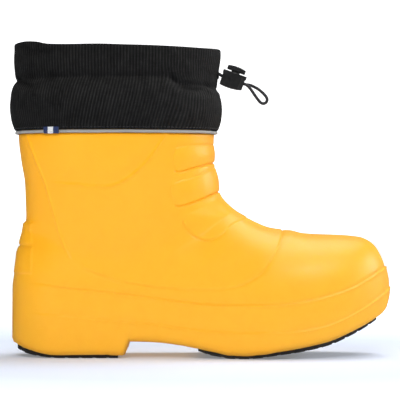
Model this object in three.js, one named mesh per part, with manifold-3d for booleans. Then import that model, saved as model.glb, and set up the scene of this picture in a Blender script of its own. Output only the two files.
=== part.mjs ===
// Deck boot, right foot: a one-piece moulded EVA boot with rubber tread pads, a loose felt liner and a
// textile collar that cinches with an elastic cord and a spring cord lock.
// Millimetres. +X points to the toe, +Y to the inner side of the foot and +Z up. The origin lies on the
// ground, under the middle of the boot's length.
import * as THREE from 'three';
import { LoftGeometry } from 'three/addons/geometries/LoftGeometry.js';
import { mergeVertices } from 'three/addons/utils/BufferGeometryUtils.js';
import Module from 'manifold-3d';

const wasm = await Module();
wasm.setup();

// ---- driving dimensions ----
const HALF_LENGTH = 152.4;         // toe tip and heel tip, each side of the origin
const SHELL_WALL = 4.6;
const LINER_GAP = 1.2;             // between the shell and the loose liner
const LINER_WALL = 3.4;
const FOOTBED_THICKNESS = 4;
const RIM_Z = 178.6;               // top of the visible shell wall
const FLANGE_TOP_Z = 188;          // top of the thin sewing flange that stands inside the collar
const FLANGE_INSET = 2.4;
const LINER_TOP_Z = 173;
const COLLAR_TOP_Z = 252.5;
const SHEET = 1.2;                 // collar fabric, two layers laminated
const FIT_GAP = 0.4;

// The collar, the piping and the cord follow one oval, that of the shell's top edge.
const OVAL = { x: -68.15, halfLength: 79, halfWidth: 52, power: 2.3 };

const CORD_DIAMETER = 2.5;
const STRAND_Y = 1.5;              // half the spacing of the two strands, side by side
const EYELET = { x: 13.45, z: 228.4, bore: 3.1, barrel: 3.6, flange: 4.8, thickness: 0.8 };
const LOCK = { x: 26, z: 223, tilt: 20, length: 18.8, width: 12, bottom: -6.9, top: 5.5 };
const TAB = { x: -119, halfSpan: 0.095, low: 178.2, high: 183.6 };  // ribbon; halfSpan in radians of the oval
const PLUNGER = { length: 15.2, width: 11, cap: 4, travel: 1.2, stemLength: 7, stemWidth: 8.6 };

const COLOURS = {
  eva: 0xfeb62a, rubber: 0x17171a, felt: 0x8d8d92, foam: 0x50545c, fabric: 0x272627,
  piping: 0xb9b6b0, ribbon: 0x24345c, cord: 0x2e2d2f, plastic: 0x242426, steel: 0x8b8e93,
};

// ---- curves ----
// A smooth curve through (position, value) pairs that never overshoots them.
function curveThrough(points) {
  const last = points.length - 1;
  const slope = (i) => (points[i + 1][1] - points[i][1]) / (points[i + 1][0] - points[i][0]);
  const tangents = points.map((_, i) => {
    if (i === 0) return slope(0);
    if (i === last) return slope(last - 1);
    const before = slope(i - 1);
    const after = slope(i);
    return before * after > 0 ? 2 * before * after / (before + after) : 0;
  });
  return (position) => {
    const x = THREE.MathUtils.clamp(position, points[0][0], points[last][0]);
    let i = 0;
    while (i < last - 1 && x > points[i + 1][0]) i += 1;
    const width = points[i + 1][0] - points[i][0];
    const t = (x - points[i][0]) / width;
    const rise = points[i + 1][1] - points[i][1];
    const a = width * tangents[i] - rise;
    const b = rise - width * tangents[i + 1];
    return points[i][1] + t * rise + t * (1 - t) * (a * (1 - t) + b * t);
  };
}

// Side view of the foot, heel to toe: instep line, underside of the EVA, floor of the cavity.
const topLine = curveThrough([
  [-152.4, 57], [-151, 66], [-148.5, 82], [-145, 94], [-138, 103], [-122, 108], [-60, 110], [0, 110.5],
  [20, 112], [32, 110.8], [44, 107.4], [60, 102.3], [90, 98.5], [115, 97.5], [129, 96], [136, 93], [141, 89],
  [146, 81], [149.5, 72], [151.6, 64], [152.4, 58],
]);
const soleLine = curveThrough([
  [-152.4, 12], [-150, 9.5], [-140, 4.4], [-128, 2], [-112, 0.8], [-62, 0.8], [-57, 12], [-40, 11.6],
  [-21, 9.8], [11.5, 3.6], [24, 1], [34, 0.8], [46, 1.6], [60, 3.9], [80, 7.6], [100.5, 12.3],
  [120, 20], [137, 28.6], [148, 36.5], [152.4, 48],
]);
const floorLine = curveThrough([
  [-150, 28], [-118, 24], [-60, 22], [0, 16], [50, 13.5], [90, 18], [130, 31], [150, 44],
]);
// Plan view: half the widest width, and the sideways bend of the centre line.
const bodyHalfWidth = curveThrough([
  [-152, 37.5], [-110, 38.5], [-60, 38.5], [-30, 39.5], [20, 46.5], [60, 53], [85, 54], [152, 52],
]);
const footCentre = curveThrough([[-152, 0], [-60, -1], [0, -3.5], [50, -3.5], [95, 1], [130, 6], [152, 9]]);
// Shaft, from the ankle up.
const shaftFront = curveThrough([
  [60, 20.5], [100, 20.5], [112, 20], [122, 17.6], [130, 15.6], [137, 14], [147, 12.4], [156, 11], [166, 10.4],
  [178, 10.85], [190, 10.85],
]);
const shaftBack = curveThrough([
  [60, -140.4], [100, -140.6], [118, -141.2], [140, -142.2], [157, -145], [178, -147.1], [190, -147.15],
]);
const shaftHalfWidth = curveThrough([[60, 34], [90, 38], [110, 41], [130, 44.5], [155, 49.5], [178, 52], [190, 52]]);

function planHalfWidth(x) {
  const toeStart = 62;
  const heelStart = -112;
  const t = x > toeStart ? (x - toeStart) / (HALF_LENGTH - toeStart)
    : Math.max(0, (heelStart - x) / (HALF_LENGTH + heelStart));
  const power = x > toeStart ? 2.5 : 2.2;
  const rest = 1 - t ** power;
  return bodyHalfWidth(x) * Math.sign(rest) * Math.sqrt(Math.abs(rest));
}

// A skin is the boot's outer face moved inwards by `inset`, over its own underside line.
const outerSkin = { inset: 0, bottom: soleLine };
function innerSkin(inset, floorOffset) {
  return { inset, bottom: (x) => floorLine(x) + floorOffset };
}

// The three functions below give the square of a skin's half width at a place (x, z) in side view.
// It is negative outside the side view's outline.
function footSquare(x, z, skin) {
  const stretched = x * HALF_LENGTH / (HALF_LENGTH - skin.inset);
  const half = planHalfWidth(stretched) - skin.inset;
  if (half <= 0) return -half * half;
  const top = topLine(stretched) - skin.inset;
  const bottom = skin.bottom(x);
  const widest = bottom + 0.34 * (top - bottom);
  if (z >= widest) return half * half * (1 - ((z - widest) / (top - widest)) ** 2.6);
  const t = (widest - z) / (widest - bottom);
  return half * half * (1 - 0.12 * t * t - 0.88 * t ** 18);
}

function shaftSquare(x, z, skin) {
  const front = shaftFront(z) - skin.inset;
  const back = shaftBack(z) + skin.inset;
  const half = shaftHalfWidth(z) - skin.inset;
  const t = Math.abs(2 * x - front - back) / (front - back);
  const fadeBelow = Math.max(0, 72 - z);
  return half * half * (1 - t ** OVAL.power) - 2.5 * fadeBelow ** 2;
}

function halfWidthSquare(x, z, skin) {
  const foot = footSquare(x, z, skin);
  const shaft = shaftSquare(x, z, skin);
  const depth = Math.max(0, Math.min(foot, shaft));
  const front = THREE.MathUtils.smoothstep(x, -110, -20);
  const blend = 150 + 1500 * front * Math.exp(-depth / 700);
  const overlap = Math.max(blend - Math.abs(foot - shaft), 0) / blend;
  return Math.max(foot, shaft) + overlap * overlap * blend / 4;
}

function centreY(x, z) {
  return footCentre(x) * (1 - THREE.MathUtils.smoothstep(z, 70, 140));
}

// ---- rings: sections of a skin by planes that stand across the boot ----
// The planes are level in the shaft, fan round a line in front of the instep and stand upright in the foot.
const FAN = { x: 60, z: 150 };

function levelPlane(z) {
  return { x: FAN.x, z, dx: -1, dz: 0 };
}

function fanPlane(degrees) {
  const angle = THREE.MathUtils.degToRad(degrees);
  return { x: FAN.x, z: FAN.z, dx: -Math.cos(angle), dz: -Math.sin(angle) };
}

function uprightPlane(x) {
  return { x, z: FAN.z, dx: 0, dz: -1 };
}

function bisect(inside, outside, isInside) {
  let low = inside;
  let high = outside;
  for (let i = 0; i < 36; i += 1) {
    const middle = (low + high) / 2;
    if (isInside(middle)) low = middle;
    else high = middle;
  }
  return (low + high) / 2;
}

const RING_POINTS = 32;

// Every skin's points lie on the same rays, which start in the middle of the outer skin's section.
function ring(plane, skin) {
  const square = (s) => halfWidthSquare(plane.x + s * plane.dx, plane.z + s * plane.dz, outerSkin);
  const samples = Array.from({ length: 130 }, (_, i) => 2 * i).filter((s) => square(s) > 0);
  const near = bisect(samples[0], samples[0] - 2, (s) => square(s) > 0);
  const far = bisect(samples.at(-1), samples.at(-1) + 2, (s) => square(s) > 0);
  const middle = (near + far) / 2;
  const reach = (far - near) / 2;
  const half = Math.sqrt(square(middle));
  const middleY = centreY(plane.x + middle * plane.dx, plane.z + middle * plane.dz);
  return Array.from({ length: RING_POINTS }, (_, i) => {
    const angle = -2 * Math.PI * i / RING_POINTS;
    const place = (k) => new THREE.Vector3(
      plane.x + (middle + k * reach * Math.cos(angle)) * plane.dx,
      middleY + k * half * Math.sin(angle),
      plane.z + (middle + k * reach * Math.cos(angle)) * plane.dz,
    );
    const isInside = (k) => {
      const p = place(k);
      return (p.y - centreY(p.x, p.z)) ** 2 < halfWidthSquare(p.x, p.z, skin);
    };
    return place(bisect(0, 2.2, isInside));
  });
}

// Planes from the toe back and up to the shaft; `spacing` is the step of the fan in degrees.
function planesFromToe(tip, toeCount, spacing) {
  const planes = [];
  for (let i = 1; i <= toeCount; i += 1) {
    planes.push(uprightPlane(FAN.x + (tip - FAN.x) * Math.cos(Math.PI / 2 * i / (toeCount + 1))));
  }
  for (let angle = 90; angle >= 0; angle -= spacing) planes.push(fanPlane(angle));
  return planes;
}

// ---- helpers for meshes and booleans ----
function material(colour, roughness, metalness = 0) {
  return new THREE.MeshStandardMaterial({ color: colour, roughness, metalness });
}

function piece(name, geometry, finish) {
  const mesh = new THREE.Mesh(geometry, finish);
  mesh.name = name;
  return mesh;
}

function toSolid(geometry) {
  const bare = new THREE.BufferGeometry();
  bare.setAttribute('position', geometry.attributes.position);
  bare.setIndex(geometry.index);
  const merged = mergeVertices(bare, 1e-4);
  const triVerts = Uint32Array.from(merged.index.array);
  const vertProperties = Float32Array.from(merged.attributes.position.array);
  return new wasm.Manifold(new wasm.Mesh({ numProp: 3, vertProperties, triVerts }));
}

function toGeometry(solid) {
  const mesh = solid.getMesh();
  const geometry = new THREE.BufferGeometry();
  geometry.setAttribute('position', new THREE.BufferAttribute(Float32Array.from(mesh.vertProperties), 3));
  geometry.setIndex(new THREE.BufferAttribute(Uint32Array.from(mesh.triVerts), 1));
  return geometry;
}

function box(low, high) {
  const size = high.map((v, i) => v - low[i]);
  const geometry = new THREE.BoxGeometry(...size);
  return geometry.translate(...low.map((v, i) => v + size[i] / 2));
}

function tube(curve, radius, sides, steps) {
  const turns = Math.ceil(sides / 2);
  const points = Array.from({ length: 2 * turns }, (_, i) => {
    const angle = Math.PI * i / turns;
    return new THREE.Vector2(radius * Math.cos(angle), radius * Math.sin(angle));
  });
  return new THREE.ExtrudeGeometry(new THREE.Shape(points), { steps, extrudePath: curve, bevelEnabled: false });
}

function turnFaces(geometry, firstFace) {
  const index = geometry.index.array;
  for (let i = 3 * firstFace; i < index.length; i += 3) {
    [index[i + 1], index[i + 2]] = [index[i + 2], index[i + 1]];
  }
  return geometry;
}

// A loft's end cap faces away from the loft. The end cap of a cavity has to face back into the cavity.
function hollowLoft(rings) {
  const geometry = new LoftGeometry(rings, { closed: true, capStart: true, capEnd: true });
  return turnFaces(geometry, geometry.index.count / 3 - (RING_POINTS - 2));
}

// The shell's cavity and the liner share their section planes, so that their facets stay parallel.
const cavityPlanes = [...planesFromToe(146.5, 6, 7.5), levelPlane(LINER_TOP_Z)];

// ---- shell ----
function shellGeometry() {
  const inner = innerSkin(SHELL_WALL, 0);
  const flange = innerSkin(FLANGE_INSET, 0);
  const outside = [...planesFromToe(152.9, 10, 5), levelPlane(164), levelPlane(RIM_Z)];
  const inside = [...cavityPlanes, levelPlane(FLANGE_TOP_Z)];
  const rings = [
    ...outside.map((plane) => ring(plane, outerSkin)),
    ring(levelPlane(RIM_Z), flange),
    ring(levelPlane(FLANGE_TOP_Z), flange),
    ...inside.reverse().map((plane) => ring(plane, inner)),
  ];
  return hollowLoft(rings);
}

// ---- tread pads ----
const PAD_RIM = 5.5;               // width of the EVA rim left around a pad
const PAD_DEPTH = 3.2;                // above the sole line
const GROOVE = { width: 2.6, depth: 2, pitch: 11 };
// How far the pads' tread stands out under the sole line, along the boot. It touches the ground at heel and ball.
const treadDrop = curveThrough([
  [-152, 0.8], [-20, 0.8], [-2, 2.2], [8, 2.2], [24, 0.8], [50, 0.8], [80, 2.4], [105, 2.4], [141, 1.3],
]);
const HEEL_PAD = { from: -147, to: -66 };
const FOREFOOT_PAD = { from: -2, to: 141 };

// A pad's plan outline, grown by `growth`, pushed up through `height`.
function padColumn(pad, growth, height) {
  const count = 16;
  const edge = (i, side) => {
    const from = pad.from - growth;
    const x = from + (pad.to + growth - from) * (1 - Math.cos(Math.PI * i / count)) / 2;
    const half = Math.max(planHalfWidth(x) * 0.94 - PAD_RIM + growth, 3);
    return new THREE.Vector2(x, footCentre(x) + side * half);
  };
  const outer = Array.from({ length: count + 1 }, (_, i) => edge(i, -1));
  const inner = Array.from({ length: count + 1 }, (_, i) => edge(count - i, 1));
  return new THREE.ExtrudeGeometry(new THREE.Shape([...outer, ...inner]), { depth: height, bevelEnabled: false });
}

// A band across the boot for the same length, from `low` above the tread to `high` above the sole line.
function padBand(pad, growth, low, high) {
  const count = 18;
  const xs = Array.from({ length: count + 1 }, (_, i) => (
    pad.from - growth + (pad.to - pad.from + 2 * growth) * i / count));
  const lower = xs.map((x) => new THREE.Vector2(x, soleLine(x) - treadDrop(x) + low));
  const upper = xs.map((x) => new THREE.Vector2(x, soleLine(x) + high)).reverse();
  const shape = new THREE.Shape([...lower, ...upper]);
  const geometry = new THREE.ExtrudeGeometry(shape, { depth: 140, bevelEnabled: false });
  return geometry.rotateX(Math.PI / 2).translate(0, 70, 0);
}

function padSolid(pad, growth) {
  const low = growth > 0 ? -12 : 0;
  const column = toSolid(padColumn(pad, growth, 60).translate(0, 0, -20));
  return column.intersect(toSolid(padBand(pad, growth, low, PAD_DEPTH + growth)));
}

function treadPad(pad) {
  let solid = padSolid(pad, 0);
  for (let x = pad.from + GROOVE.pitch; x < pad.to - GROOVE.pitch / 2; x += GROOVE.pitch) {
    const top = soleLine(x) - treadDrop(x) + GROOVE.depth;
    const low = [x - GROOVE.width / 2, -80, -20];
    solid = solid.subtract(toSolid(box(low, [x + GROOVE.width / 2, 80, top])));
  }
  return toGeometry(solid);
}

function shellWithPockets() {
  const pockets = [HEEL_PAD, FOREFOOT_PAD].map((pad) => padSolid(pad, FIT_GAP));
  return toGeometry(toSolid(shellGeometry()).subtract(pockets[0]).subtract(pockets[1]));
}

// ---- liner and footbed ----
// The liner's loft starts at the cavity's toe and ends at the outer toe, so that its outer facets are split
// along the same diagonals as the shell's cavity. That turns it inside out, and its faces are turned back.
function linerGeometry() {
  const outset = SHELL_WALL + LINER_GAP;
  const outer = innerSkin(outset, LINER_GAP);
  const inner = innerSkin(outset + LINER_WALL, LINER_GAP + LINER_WALL);
  const inside = [...planesFromToe(141.6, 5, 6), levelPlane(LINER_TOP_Z)];
  const outside = [...cavityPlanes].reverse();
  const rings = [
    ...inside.map((plane) => ring(plane, inner)),
    ...outside.map((plane) => ring(plane, outer)),
  ];
  return turnFaces(hollowLoft(rings), 0);
}

function footbedGeometry() {
  const margin = SHELL_WALL + LINER_GAP + LINER_WALL + 11;
  const lift = LINER_GAP + LINER_WALL + 1.6;
  const from = -124;
  const to = 126;
  const count = 20;
  const sections = Array.from({ length: count + 1 }, (_, i) => {
    const x = from + (to - from) * (1 - Math.cos(Math.PI * i / count)) / 2;
    const half = Math.max(planHalfWidth(x * HALF_LENGTH / (to + 14)) - margin, 5);
    const heelCup = 0.28 * Math.max(0, -98 - x);
    const low = floorLine(x) + lift + heelCup;
    const corners = [[-half, 0], [half, 0], [half, FOOTBED_THICKNESS], [-half, FOOTBED_THICKNESS]];
    return corners.map(([y, z]) => new THREE.Vector3(x, footCentre(x) + y, low + z));
  });
  return new LoftGeometry(sections, { closed: true, capStart: true, capEnd: true });
}

// ---- rings that follow the collar's oval ----
function ovalPoint(angle, offset, z) {
  const cosine = Math.cos(angle);
  const along = Math.sign(cosine) * Math.abs(cosine) ** (2 / OVAL.power);
  return new THREE.Vector3(
    OVAL.x + (OVAL.halfLength + offset) * along,
    (OVAL.halfWidth + offset) * Math.sin(angle),
    z,
  );
}

// `profile` is a list of [offset from the oval, z], going round from the top to the outside.
function ovalRing(profile, segments) {
  const sections = Array.from({ length: segments + 1 }, (_, i) => {
    const angle = 2 * Math.PI * (i % segments) / segments;
    return profile.map(([offset, z]) => ovalPoint(angle, offset, z));
  });
  return new LoftGeometry(sections, { closed: true, capStart: false, capEnd: false });
}

function roundProfile(offset, z, radius, sides) {
  return Array.from({ length: sides }, (_, i) => {
    const angle = Math.PI / 2 - 2 * Math.PI * i / sides;
    return [offset + radius * Math.cos(angle), z + radius * Math.sin(angle)];
  });
}

// ---- collar ----
// The outer sheet bulges over the shell's rim, draws in at the waist and turns in over the lining at the top.
const COLLAR_FACE = [
  [3.2, 249.5], [3.4, 242], [2.7, 233], [2.6, 228.4], [2.2, 221], [5.2, 214], [6.4, 203], [5, 191], [3, 181.9],
];

function collarOuterGeometry() {
  const hemInside = -1.6;
  const hemDrop = 8;
  const inside = COLLAR_FACE.slice(0, -1).reverse().map(([offset, z]) => [offset - SHEET, z]);
  const profile = [
    [hemInside + 1.2, COLLAR_TOP_Z],
    [2.2, COLLAR_TOP_Z],
    ...COLLAR_FACE,
    [-FLANGE_INSET + FIT_GAP, 181.9],
    [-FLANGE_INSET + FIT_GAP, 187],
    ...inside,
    [COLLAR_FACE[0][0] - SHEET, COLLAR_TOP_Z - SHEET],
    [hemInside + SHEET, COLLAR_TOP_Z - SHEET],
    [hemInside + SHEET, COLLAR_TOP_Z - hemDrop],
    [hemInside, COLLAR_TOP_Z - hemDrop],
    [hemInside, COLLAR_TOP_Z - SHEET],
  ];
  const hole = new THREE.CylinderGeometry(EYELET.barrel + FIT_GAP, EYELET.barrel + FIT_GAP, 8, 16);
  hole.rotateZ(Math.PI / 2).translate(EYELET.x, 0, EYELET.z);
  return toGeometry(toSolid(ovalRing(profile, 40)).subtract(toSolid(hole)));
}

function collarLiningGeometry() {
  const face = [
    [1.4, 250.3], [1.4, 240], [-3.9, 234], [-3.9, 222], [0.4, 216], [0.4, 205], [-5.1, 189.5], [-5.1, 179.6],
  ];
  const inside = [...face].reverse().map(([offset, z]) => [offset - 1, z]);
  return ovalRing([...face, ...inside], 32);
}

function pipingGeometry() {
  return ovalRing(roundProfile(1.5, 180.2, 1.15, 6), 40);
}

function linerBindingGeometry() {
  const low = LINER_TOP_Z + FIT_GAP;
  const high = low + 3.2;
  return ovalRing([[-6.8, high], [-6.4, high - 0.6], [-6.4, low], [-9.8, low], [-9.8, high - 0.6], [-9.4, high]], 28);
}

// A short woven ribbon that is sewn over the piping on the outer side, near the heel.
function sideTabGeometry() {
  const inner = 3.5;
  const outer = 4.4;
  const count = 4;
  const along = Math.abs(TAB.x - OVAL.x) / (OVAL.halfLength + outer);
  const centre = Math.PI + Math.acos(along ** (OVAL.power / 2));
  const profile = [[outer, TAB.high], [outer, TAB.low], [inner, TAB.low], [inner, TAB.high]];
  const sections = Array.from({ length: count + 1 }, (_, i) => {
    const angle = centre + TAB.halfSpan * (2 * i / count - 1);
    return profile.map(([offset, z]) => ovalPoint(angle, offset, z));
  });
  return new LoftGeometry(sections, { closed: true, capStart: true, capEnd: true });
}

// ---- drawcord ----
function drawcordRingGeometry() {
  const depth = -2.3;
  const start = 0.14;
  const count = 30;
  const around = Array.from({ length: count + 1 }, (_, i) => (
    ovalPoint(start + (2 * Math.PI - 2 * start) * i / count, depth, EYELET.z)));
  const lead = (side) => [
    new THREE.Vector3(10.3, side * STRAND_Y, EYELET.z),
    new THREE.Vector3(9, side * 2.3, EYELET.z),
  ];
  const points = [...lead(1), ...around, ...lead(-1).reverse()];
  return tube(new THREE.CatmullRomCurve3(points), CORD_DIAMETER / 2, 6, 56);
}

// The free loop's outer strand, from the eyelet through the lock to the tip, then back along the inner one.
const LOOP_ROUTE = [
  [11.2, 1.5, 228.4], [14.6, 1.5, 227.7], [18, 1.5, 225.9], [22, 1.5, 224.5], [26, 1.5, 223], [30, 1.5, 221.5],
  [34.4, 1.5, 219.9], [37.2, 1.45, 219.2], [40.2, 1.1, 218.7], [43.5, 0.6, 217.2], [46.2, 0.2, 215.5],
  [48.9, 0, 213.2], [51.3, 0, 210.7], [52.9, 0, 208.3], [53.5, 0, 206.2], [52.7, 0, 204.6], [51.1, 0, 204.2],
  [49.5, 0, 205.1], [47.6, 0, 207.1], [45.4, 0, 209.6], [43.3, -0.3, 212.2], [41.2, -0.8, 214.8],
  [38.9, -1.3, 217.2], [36.8, -1.5, 218.9], [34.4, -1.5, 219.9], [30, -1.5, 221.5], [26, -1.5, 223],
  [22, -1.5, 224.5], [18, -1.5, 225.9], [14.6, -1.5, 227.7], [11.2, -1.5, 228.4],
];

function drawcordLoopGeometry() {
  const curve = new THREE.CatmullRomCurve3(LOOP_ROUTE.map((p) => new THREE.Vector3(...p)));
  return tube(curve, CORD_DIAMETER / 2, 8, 56);
}

function eyeletGeometry() {
  const { bore, barrel, flange, thickness } = EYELET;
  const outside = FIT_GAP + thickness;
  const profile = [
    [bore, -2.8], [barrel, -2.8], [barrel, FIT_GAP], [flange, FIT_GAP - 0.1], [flange - 0.5, outside], [bore, outside],
    [bore, -2.8],
  ].map(([r, z]) => new THREE.Vector2(r, z));
  const geometry = new THREE.LatheGeometry(profile, 20);
  return geometry.rotateZ(-Math.PI / 2).translate(EYELET.x, 0, EYELET.z);
}

function eyeletWasherGeometry() {
  const { barrel, flange } = EYELET;
  const profile = [
    [barrel + 0.3, -2.6], [flange, -2.6], [flange, -1.95], [barrel + 0.3, -1.95], [barrel + 0.3, -2.6],
  ].map(([r, z]) => new THREE.Vector2(r, z));
  const geometry = new THREE.LatheGeometry(profile, 20);
  return geometry.rotateZ(-Math.PI / 2).translate(EYELET.x, 0, EYELET.z);
}

// ---- cord lock, in its own frame: +X along the cord, +Z along the plunger ----
const CORD_HOLE = { halfWidth: 3.1, halfHeight: 1.65 };
const WELL = { length: 7.8, width: 9.3, floor: -5.3 };

function lockBodyGeometry() {
  const { length, width, bottom, top } = LOCK;
  const end = length / 2;
  const side = new THREE.Shape();
  side.moveTo(-end, bottom + 0.6);
  side.quadraticCurveTo(0, bottom - 1, end, bottom + 0.9);
  side.lineTo(end, top - 3);
  side.lineTo(end + 0.5, top - 2);
  side.lineTo(end + 0.5, top);
  side.lineTo(-end - 0.5, top);
  side.lineTo(-end - 0.5, top - 2);
  side.lineTo(-end, top - 3);
  side.closePath();
  const bevel = 0.8;
  const options = {
    depth: width - 2 * bevel, bevelThickness: bevel, bevelSize: bevel, bevelOffset: -bevel, bevelSegments: 1,
    curveSegments: 6,
  };
  const block = new THREE.ExtrudeGeometry(side, options).rotateX(Math.PI / 2);
  block.translate(0, width / 2 - bevel, 0);
  const well = box([-WELL.length / 2, -WELL.width / 2, WELL.floor], [WELL.length / 2, WELL.width / 2, top + 5]);
  const { halfWidth, halfHeight } = CORD_HOLE;
  const hole = box([-length, -halfWidth, -halfHeight], [length, halfWidth, halfHeight]);
  return toGeometry(toSolid(block).subtract(toSolid(well)).subtract(toSolid(hole)));
}

function plungerGeometry() {
  const { length, width, cap, travel, stemLength, stemWidth } = PLUNGER;
  const capLow = LOCK.top + travel + 0.3;
  const shape = new THREE.Shape();
  shape.moveTo(-length / 2, capLow);
  shape.lineTo(length / 2, capLow);
  shape.lineTo(length / 2, capLow + cap - 1.4);
  shape.quadraticCurveTo(length / 2 - 0.4, capLow + cap - 0.4, length / 2 - 2.4, capLow + cap);
  shape.lineTo(-length / 2 + 2.4, capLow + cap);
  shape.quadraticCurveTo(-length / 2 + 0.4, capLow + cap - 0.4, -length / 2, capLow + cap - 1.4);
  shape.closePath();
  const head = new THREE.ExtrudeGeometry(shape, { depth: width, bevelEnabled: false, curveSegments: 4 });
  head.rotateX(Math.PI / 2).translate(0, width / 2, 0);
  const stem = box([-stemLength / 2, -stemWidth / 2, -2.9], [stemLength / 2, stemWidth / 2, capLow + 1]);
  const slot = box([-length, -CORD_HOLE.halfWidth, -1.6], [length, CORD_HOLE.halfWidth, 1.6 + travel]);
  return toGeometry(toSolid(head).add(toSolid(stem)).subtract(toSolid(slot)));
}

class Helix extends THREE.Curve {
  constructor(radius, low, high, turns) {
    super();
    Object.assign(this, { radius, low, high, turns });
  }

  getPoint(t, target = new THREE.Vector3()) {
    const angle = 2 * Math.PI * this.turns * t;
    const height = this.low + (this.high - this.low) * t;
    return target.set(this.radius * Math.cos(angle), this.radius * Math.sin(angle), height);
  }
}

function springGeometry() {
  const wire = 0.25;
  return tube(new Helix(2.6, WELL.floor + wire + 0.2, -3.1 - wire, 2.5), wire, 6, 34);
}

function cordLock() {
  const group = new THREE.Group();
  group.position.set(LOCK.x, 0, LOCK.z);
  group.rotation.y = THREE.MathUtils.degToRad(LOCK.tilt);
  group.add(piece('cord_lock_body', lockBodyGeometry(), material(COLOURS.plastic, 0.42)));
  group.add(piece('cord_lock_plunger', plungerGeometry(), material(COLOURS.plastic, 0.4)));
  group.add(piece('cord_lock_spring', springGeometry(), material(COLOURS.steel, 0.35, 1)));
  return group;
}

// ---- assembly ----
const boot = new THREE.Group();
boot.add(piece('boot_shell', shellWithPockets(), material(COLOURS.eva, 0.55)));
boot.add(piece('outsole_heel', treadPad(HEEL_PAD), material(COLOURS.rubber, 0.8)));
boot.add(piece('outsole_forefoot', treadPad(FOREFOOT_PAD), material(COLOURS.rubber, 0.8)));
boot.add(piece('liner_boot', linerGeometry(), material(COLOURS.felt, 0.95)));
boot.add(piece('liner_binding', linerBindingGeometry(), material(COLOURS.fabric, 0.9)));
boot.add(piece('footbed', footbedGeometry(), material(COLOURS.foam, 0.9)));
boot.add(piece('collar_outer', collarOuterGeometry(), material(COLOURS.fabric, 0.85)));
boot.add(piece('collar_lining', collarLiningGeometry(), material(COLOURS.fabric, 0.9)));
boot.add(piece('collar_piping', pipingGeometry(), material(COLOURS.piping, 0.5)));
boot.add(piece('side_tab', sideTabGeometry(), material(COLOURS.ribbon, 0.7)));
boot.add(piece('drawcord_ring', drawcordRingGeometry(), material(COLOURS.cord, 0.8)));
boot.add(piece('drawcord_loop', drawcordLoopGeometry(), material(COLOURS.cord, 0.8)));
boot.add(piece('eyelet', eyeletGeometry(), material(COLOURS.steel, 0.4, 1)));
boot.add(piece('eyelet_washer', eyeletWasherGeometry(), material(COLOURS.steel, 0.4, 1)));
boot.add(cordLock());

export default boot;
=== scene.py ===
"""Looks of the deck boot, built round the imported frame.

The shape functions work in millimetres, as the CAD source does. Meshes are written in metres.
"""
import math

import bmesh
import bpy
import numpy as np
from mathutils import Matrix, Vector


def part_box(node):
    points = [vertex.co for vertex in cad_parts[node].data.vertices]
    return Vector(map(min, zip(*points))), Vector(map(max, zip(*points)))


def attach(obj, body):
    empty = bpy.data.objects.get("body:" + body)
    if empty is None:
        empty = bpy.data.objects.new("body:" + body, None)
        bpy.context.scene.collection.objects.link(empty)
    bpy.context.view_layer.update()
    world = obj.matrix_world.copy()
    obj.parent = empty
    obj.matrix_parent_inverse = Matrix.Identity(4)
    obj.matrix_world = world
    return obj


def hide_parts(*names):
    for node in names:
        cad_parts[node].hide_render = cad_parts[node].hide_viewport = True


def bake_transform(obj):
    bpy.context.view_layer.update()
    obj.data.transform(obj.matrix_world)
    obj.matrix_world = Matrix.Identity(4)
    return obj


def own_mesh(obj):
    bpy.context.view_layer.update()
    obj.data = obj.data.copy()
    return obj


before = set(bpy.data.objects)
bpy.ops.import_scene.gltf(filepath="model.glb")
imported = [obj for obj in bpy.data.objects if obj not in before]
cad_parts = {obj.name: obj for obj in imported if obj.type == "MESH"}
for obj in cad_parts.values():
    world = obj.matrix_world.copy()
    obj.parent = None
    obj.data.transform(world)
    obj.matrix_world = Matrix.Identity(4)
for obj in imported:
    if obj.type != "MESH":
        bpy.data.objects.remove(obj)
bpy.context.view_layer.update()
scene = bpy.context.scene

MM = 0.001

# ---------------------------------------------------------------- camera
CAMERA_DISTANCE = 1.8
VIEW_WIDTH = 0.3236       # what the picture spans, in the boot's middle plane
VIEW_CENTRE = (-0.0006, 0.1258)


def make_camera():
    data = bpy.data.cameras.new("camera")
    data.sensor_width = 36
    data.lens = 36 * CAMERA_DISTANCE / VIEW_WIDTH
    data.clip_start = 0.1
    data.clip_end = 30
    camera = bpy.data.objects.new("camera", data)
    camera.location = (VIEW_CENTRE[0], -CAMERA_DISTANCE, VIEW_CENTRE[1])
    camera.rotation_euler = (math.pi / 2, 0, 0)
    scene.collection.objects.link(camera)
    scene.camera = camera


make_camera()


# ---------------------------------------------------------------- curves and fields
def smoothstep(low, high, value):
    t = np.clip((np.asarray(value, float) - low) / (high - low), 0, 1)
    return t * t * (3 - 2 * t)


def signed_power(value, power):
    return np.sign(value) * np.abs(value) ** power


def unit(vectors):
    return vectors / np.maximum(np.linalg.norm(vectors, axis=-1, keepdims=True), 1e-12)


def turns(count):
    """Angles evenly spread over one full turn."""
    return np.linspace(0, 2 * math.pi, count, endpoint=False)


def travelled_along(points):
    """The distance from a polyline's first point to each of its points."""
    return np.concatenate([[0], np.cumsum(np.linalg.norm(np.diff(points, axis=0), axis=1))])


def curve_through(points):
    """A smooth curve through (position, value) pairs that never overshoots them, as in the CAD source."""
    place, value = np.array(points, float).T
    slope = np.diff(value) / np.diff(place)
    tangent = np.concatenate([slope[:1], np.zeros(len(place) - 2), slope[-1:]])
    before, after = slope[:-1], slope[1:]
    same = before * after > 0
    total = np.where(same, before + after, 1)
    tangent[1:-1] = np.where(same, 2 * before * after / total, 0)
    fine = np.linspace(place[0], place[-1], 3000)
    i = np.clip(np.searchsorted(place, fine, side="left") - 1, 0, len(place) - 2)
    width = place[i + 1] - place[i]
    t = (fine - place[i]) / width
    rise = value[i + 1] - value[i]
    a = width * tangent[i] - rise
    b = rise - width * tangent[i + 1]
    table = value[i] + t * rise + t * (1 - t) * (a * (1 - t) + b * t)
    return lambda x: np.interp(x, fine, table)


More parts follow.
